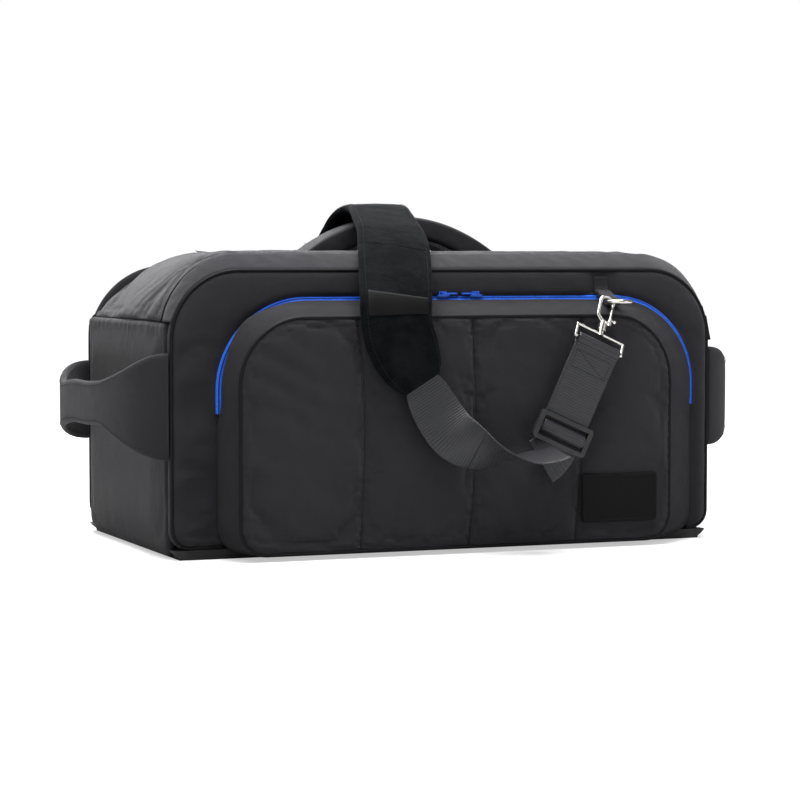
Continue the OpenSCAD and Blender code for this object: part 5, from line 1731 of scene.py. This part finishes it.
def add_world():
    world = bpy.data.worlds.new("Studio")
    bpy.context.scene.world = world
    t = Tree(empty_tree(world))
    path = t.add("ShaderNodeLightPath")
    seen = t.math("MAXIMUM", path.outputs["Is Camera Ray"], path.outputs["Is Transmission Ray"])
    soft = t.add("ShaderNodeBackground", {"Color": (0.93, 0.96, 1.0, 1), "Strength": 0.24})
    white = t.add("ShaderNodeBackground", {"Color": (1, 1, 1, 1), "Strength": 1.0})
    mix = t.add("ShaderNodeMixShader", {0: seen, 1: soft.outputs[0], 2: white.outputs[0]})
    t.add("ShaderNodeOutputWorld", {"Surface": mix.outputs[0]})


def add_light(name, place, target, size, power):
    light = add_object(name, bpy.data.lights.new(name, "AREA"))
    light.data.shape = "RECTANGLE"
    light.data.size, light.data.size_y = size
    light.data.energy = power
    light.location = place
    light.rotation_euler = (Vector(target) - Vector(place)).to_track_quat("-Z", "Y").to_euler()


def add_floor():
    """A matt white floor, brighter to the camera the further off it is."""
    mesh = bpy.data.meshes.new("Floor")
    mesh.from_pydata([(-9, -9, 0), (9, -9, 0), (9, 9, 0), (-9, 9, 0)], [], [(0, 1, 2, 3)])
    floor = add_object("Floor", mesh)
    material = bpy.data.materials.new("White Floor")
    t = Tree(empty_tree(material))
    path = t.add("ShaderNodeLightPath")
    matt = t.add("ShaderNodeBsdfDiffuse", {"Color": (0.6, 0.6, 0.6, 1), "Roughness": 0.0})
    away = t.add("ShaderNodeVectorMath", {0: t.place()}, operation="LENGTH").outputs["Value"]
    strength = t.times(path.outputs["Is Camera Ray"], t.spread(away, 0.6, 2.2, 0.5, 1.0))
    glow = t.add("ShaderNodeEmission", {"Color": (1, 1, 1, 1), "Strength": strength})
    both = t.add("ShaderNodeAddShader", {0: matt.outputs[0], 1: glow.outputs[0]})
    t.add("ShaderNodeOutputMaterial", {"Surface": both.outputs[0]})
    mesh.materials.append(material)


def build_stage():
    add_camera()
    add_world()
    add_light("Key", (-1.5, -1.5, 2.0), (0, 0, 0.15), (1.2, 1.0), 17)
    add_light("Fill", (1.6, -1.9, 1.0), (0, 0, 0.15), (1.2, 1.2), 8)
    add_light("Top", (-0.1, 0.02, 1.8), (0, 0, 0.2), (1.8, 1.2), 98)
    add_light("Rim", (0.3, 1.9, 1.1), (0, 0, 0.2), (1.6, 0.9), 40)
    add_floor()
    bpy.context.scene.view_settings.view_transform = "Standard"


# ---------------------------------------------------------------- add-on

def colour_property(name, description, default):
    return bpy.props.FloatVectorProperty(name=name, description=description, default=default, size=3,
                                         subtype="COLOR", min=0, max=1)


def length_property(name, description, default, least, most):
    return bpy.props.FloatProperty(name=name, description=description, default=default, min=least, max=most,
                                   unit="LENGTH", precision=4)


class BagColours(bpy.types.PropertyGroup):
    """Colours of the bag's materials."""

    cloth: colour_property("Cloth", "Colour of the bag's woven cloth", (0.0129, 0.0118, 0.0150))
    liner: colour_property("Lining", "Colour of the lining and dividers", (0.060, 0.062, 0.068))
    webbing: colour_property("Webbing", "Colour of the strap webbing", (0.017, 0.017, 0.0205))
    velour: colour_property("Velour", "Colour of the shoulder pad", (0.0044, 0.0050, 0.0055))
    zip: colour_property("Zip", "Colour of the pocket's zip and sliders", (0.012, 0.125, 0.70))
    nickel: colour_property("Nickel", "Colour of rings and hooks", (0.66, 0.64, 0.61))
    plastic: colour_property("Plastic", "Colour of the moulded parts", (0.012, 0.012, 0.013))
    rubber: colour_property("Rubber", "Colour of the base", (0.018, 0.018, 0.019))


class BagSizes(bpy.types.PropertyGroup):
    """Sizes of the soft details."""

    loft: length_property("Loft", "How far a padded panel bulges between its seams", 0.0034, 0.0, 0.005)
    wrinkles: bpy.props.FloatProperty(name="Wrinkles", description="Depth of the cloth's creases",
                                      default=1.0, min=0.0, max=1.5, subtype="FACTOR")
    stitch_pitch: length_property("Stitch Pitch", "Distance from stitch to stitch", 0.0034, 0.002, 0.006)
    zip_pitch: length_property("Zip Pitch", "Distance from tooth to tooth of a zip", 0.0015, 0.001, 0.003)


def run_piece(operator, build, check):
    """Runs a builder and stops with an error if what it should have made isn't there."""
    build()
    made = bpy.data.objects
    missing = [name for name in check if name not in made and plain_name(name) not in made]
    if missing:
        raise RuntimeError(f"{operator.bl_label} didn't make {', '.join(missing)}")
    return {"FINISHED"}


class BAG_OT_body(bpy.types.Operator):
    """Builds the padded panels, rim, piping, lining and base"""
    bl_idname = "bag.body"
    bl_label = "Build Body"

    def execute(self, context):
        return run_piece(self, build_body, ["Front Panel", "Padded Back", "Front Rim", "Lining"])


class BAG_OT_dividers(bpy.types.Operator):
    """Builds the two padded dividers inside"""
    bl_idname = "bag.dividers"
    bl_label = "Build Dividers"

    def execute(self, context):
        return run_piece(self, build_dividers, ["Divider left", "Divider right"])


class BAG_OT_lid(bpy.types.Operator):
    """Builds the lid with its zip"""
    bl_idname = "bag.lid"
    bl_label = "Build Lid"

    def execute(self, context):
        return run_piece(self, build_lid, ["Lid", "Lid Zip Teeth"])


class BAG_OT_handles(bpy.types.Operator):
    """Builds the carrying handle and the two side handles"""
    bl_idname = "bag.handles"
    bl_label = "Build Handles"

    def execute(self, context):
        return run_piece(self, build_handles, ["Carrying Handle", "Side Handle left", "Side Handle right"])


class BAG_OT_pocket(bpy.types.Operator):
    """Builds the front pocket with its blue zip"""
    bl_idname = "bag.pocket"
    bl_label = "Build Pocket"

    def execute(self, context):
        return run_piece(self, build_pocket, ["Pocket Face", "Pocket Gusset", "Pocket Zip Teeth"])


class BAG_OT_strap(bpy.types.Operator):
    """Builds the shoulder pad, the webbing and the ring tabs"""
    bl_idname = "bag.strap"
    bl_label = "Build Strap"

    def execute(self, context):
        return run_piece(self, build_strap, ["Shoulder Pad Top", "Webbing Drop", "Front Ring Tab"])


class BAG_OT_hardware(bpy.types.Operator):
    """Gives rings, hooks, sliders and pulls their materials"""
    bl_idname = "bag.hardware"
    bl_label = "Finish Hardware"

    def execute(self, context):
        return run_piece(self, dress_hardware, [])


class BAG_OT_stage(bpy.types.Operator):
    """Builds the camera, lights, floor and background"""
    bl_idname = "bag.stage"
    bl_label = "Build Stage"

    def execute(self, context):
        return run_piece(self, build_stage, ["Camera", "Floor", "Key"])


STEPS = (BAG_OT_body, BAG_OT_dividers, BAG_OT_lid, BAG_OT_handles, BAG_OT_pocket, BAG_OT_strap,
         BAG_OT_hardware, BAG_OT_stage)


class BAG_PT_panel(bpy.types.Panel):
    """Lists the bag's sizes, colours and building steps"""
    bl_idname = "BAG_PT_panel"
    bl_label = "Camera Shoulder Bag"
    bl_space_type = "VIEW_3D"
    bl_region_type = "UI"
    bl_category = "Bag"

    def draw(self, context):
        for group in (context.scene.bag_sizes, context.scene.bag_colours):
            box = self.layout.box()
            for name in group.bl_rna.properties.keys():
                if name not in ("rna_type", "name"):
                    box.prop(group, name)
        for step in STEPS:
            self.layout.operator(step.bl_idname)


CLASSES = (BagColours, BagSizes) + STEPS + (BAG_PT_panel,)


def register():
    for item in CLASSES:
        bpy.utils.register_class(item)
    bpy.types.Scene.bag_colours = bpy.props.PointerProperty(type=BagColours)
    bpy.types.Scene.bag_sizes = bpy.props.PointerProperty(type=BagSizes)


def unregister():
    del bpy.types.Scene.bag_sizes
    del bpy.types.Scene.bag_colours
    for item in reversed(CLASSES):
        bpy.utils.unregister_class(item)


def main():
    register()
    for step in STEPS:
        group, name = step.bl_idname.split(".")
        getattr(getattr(bpy.ops, group), name)()


if __name__ == "__main__":
    main()
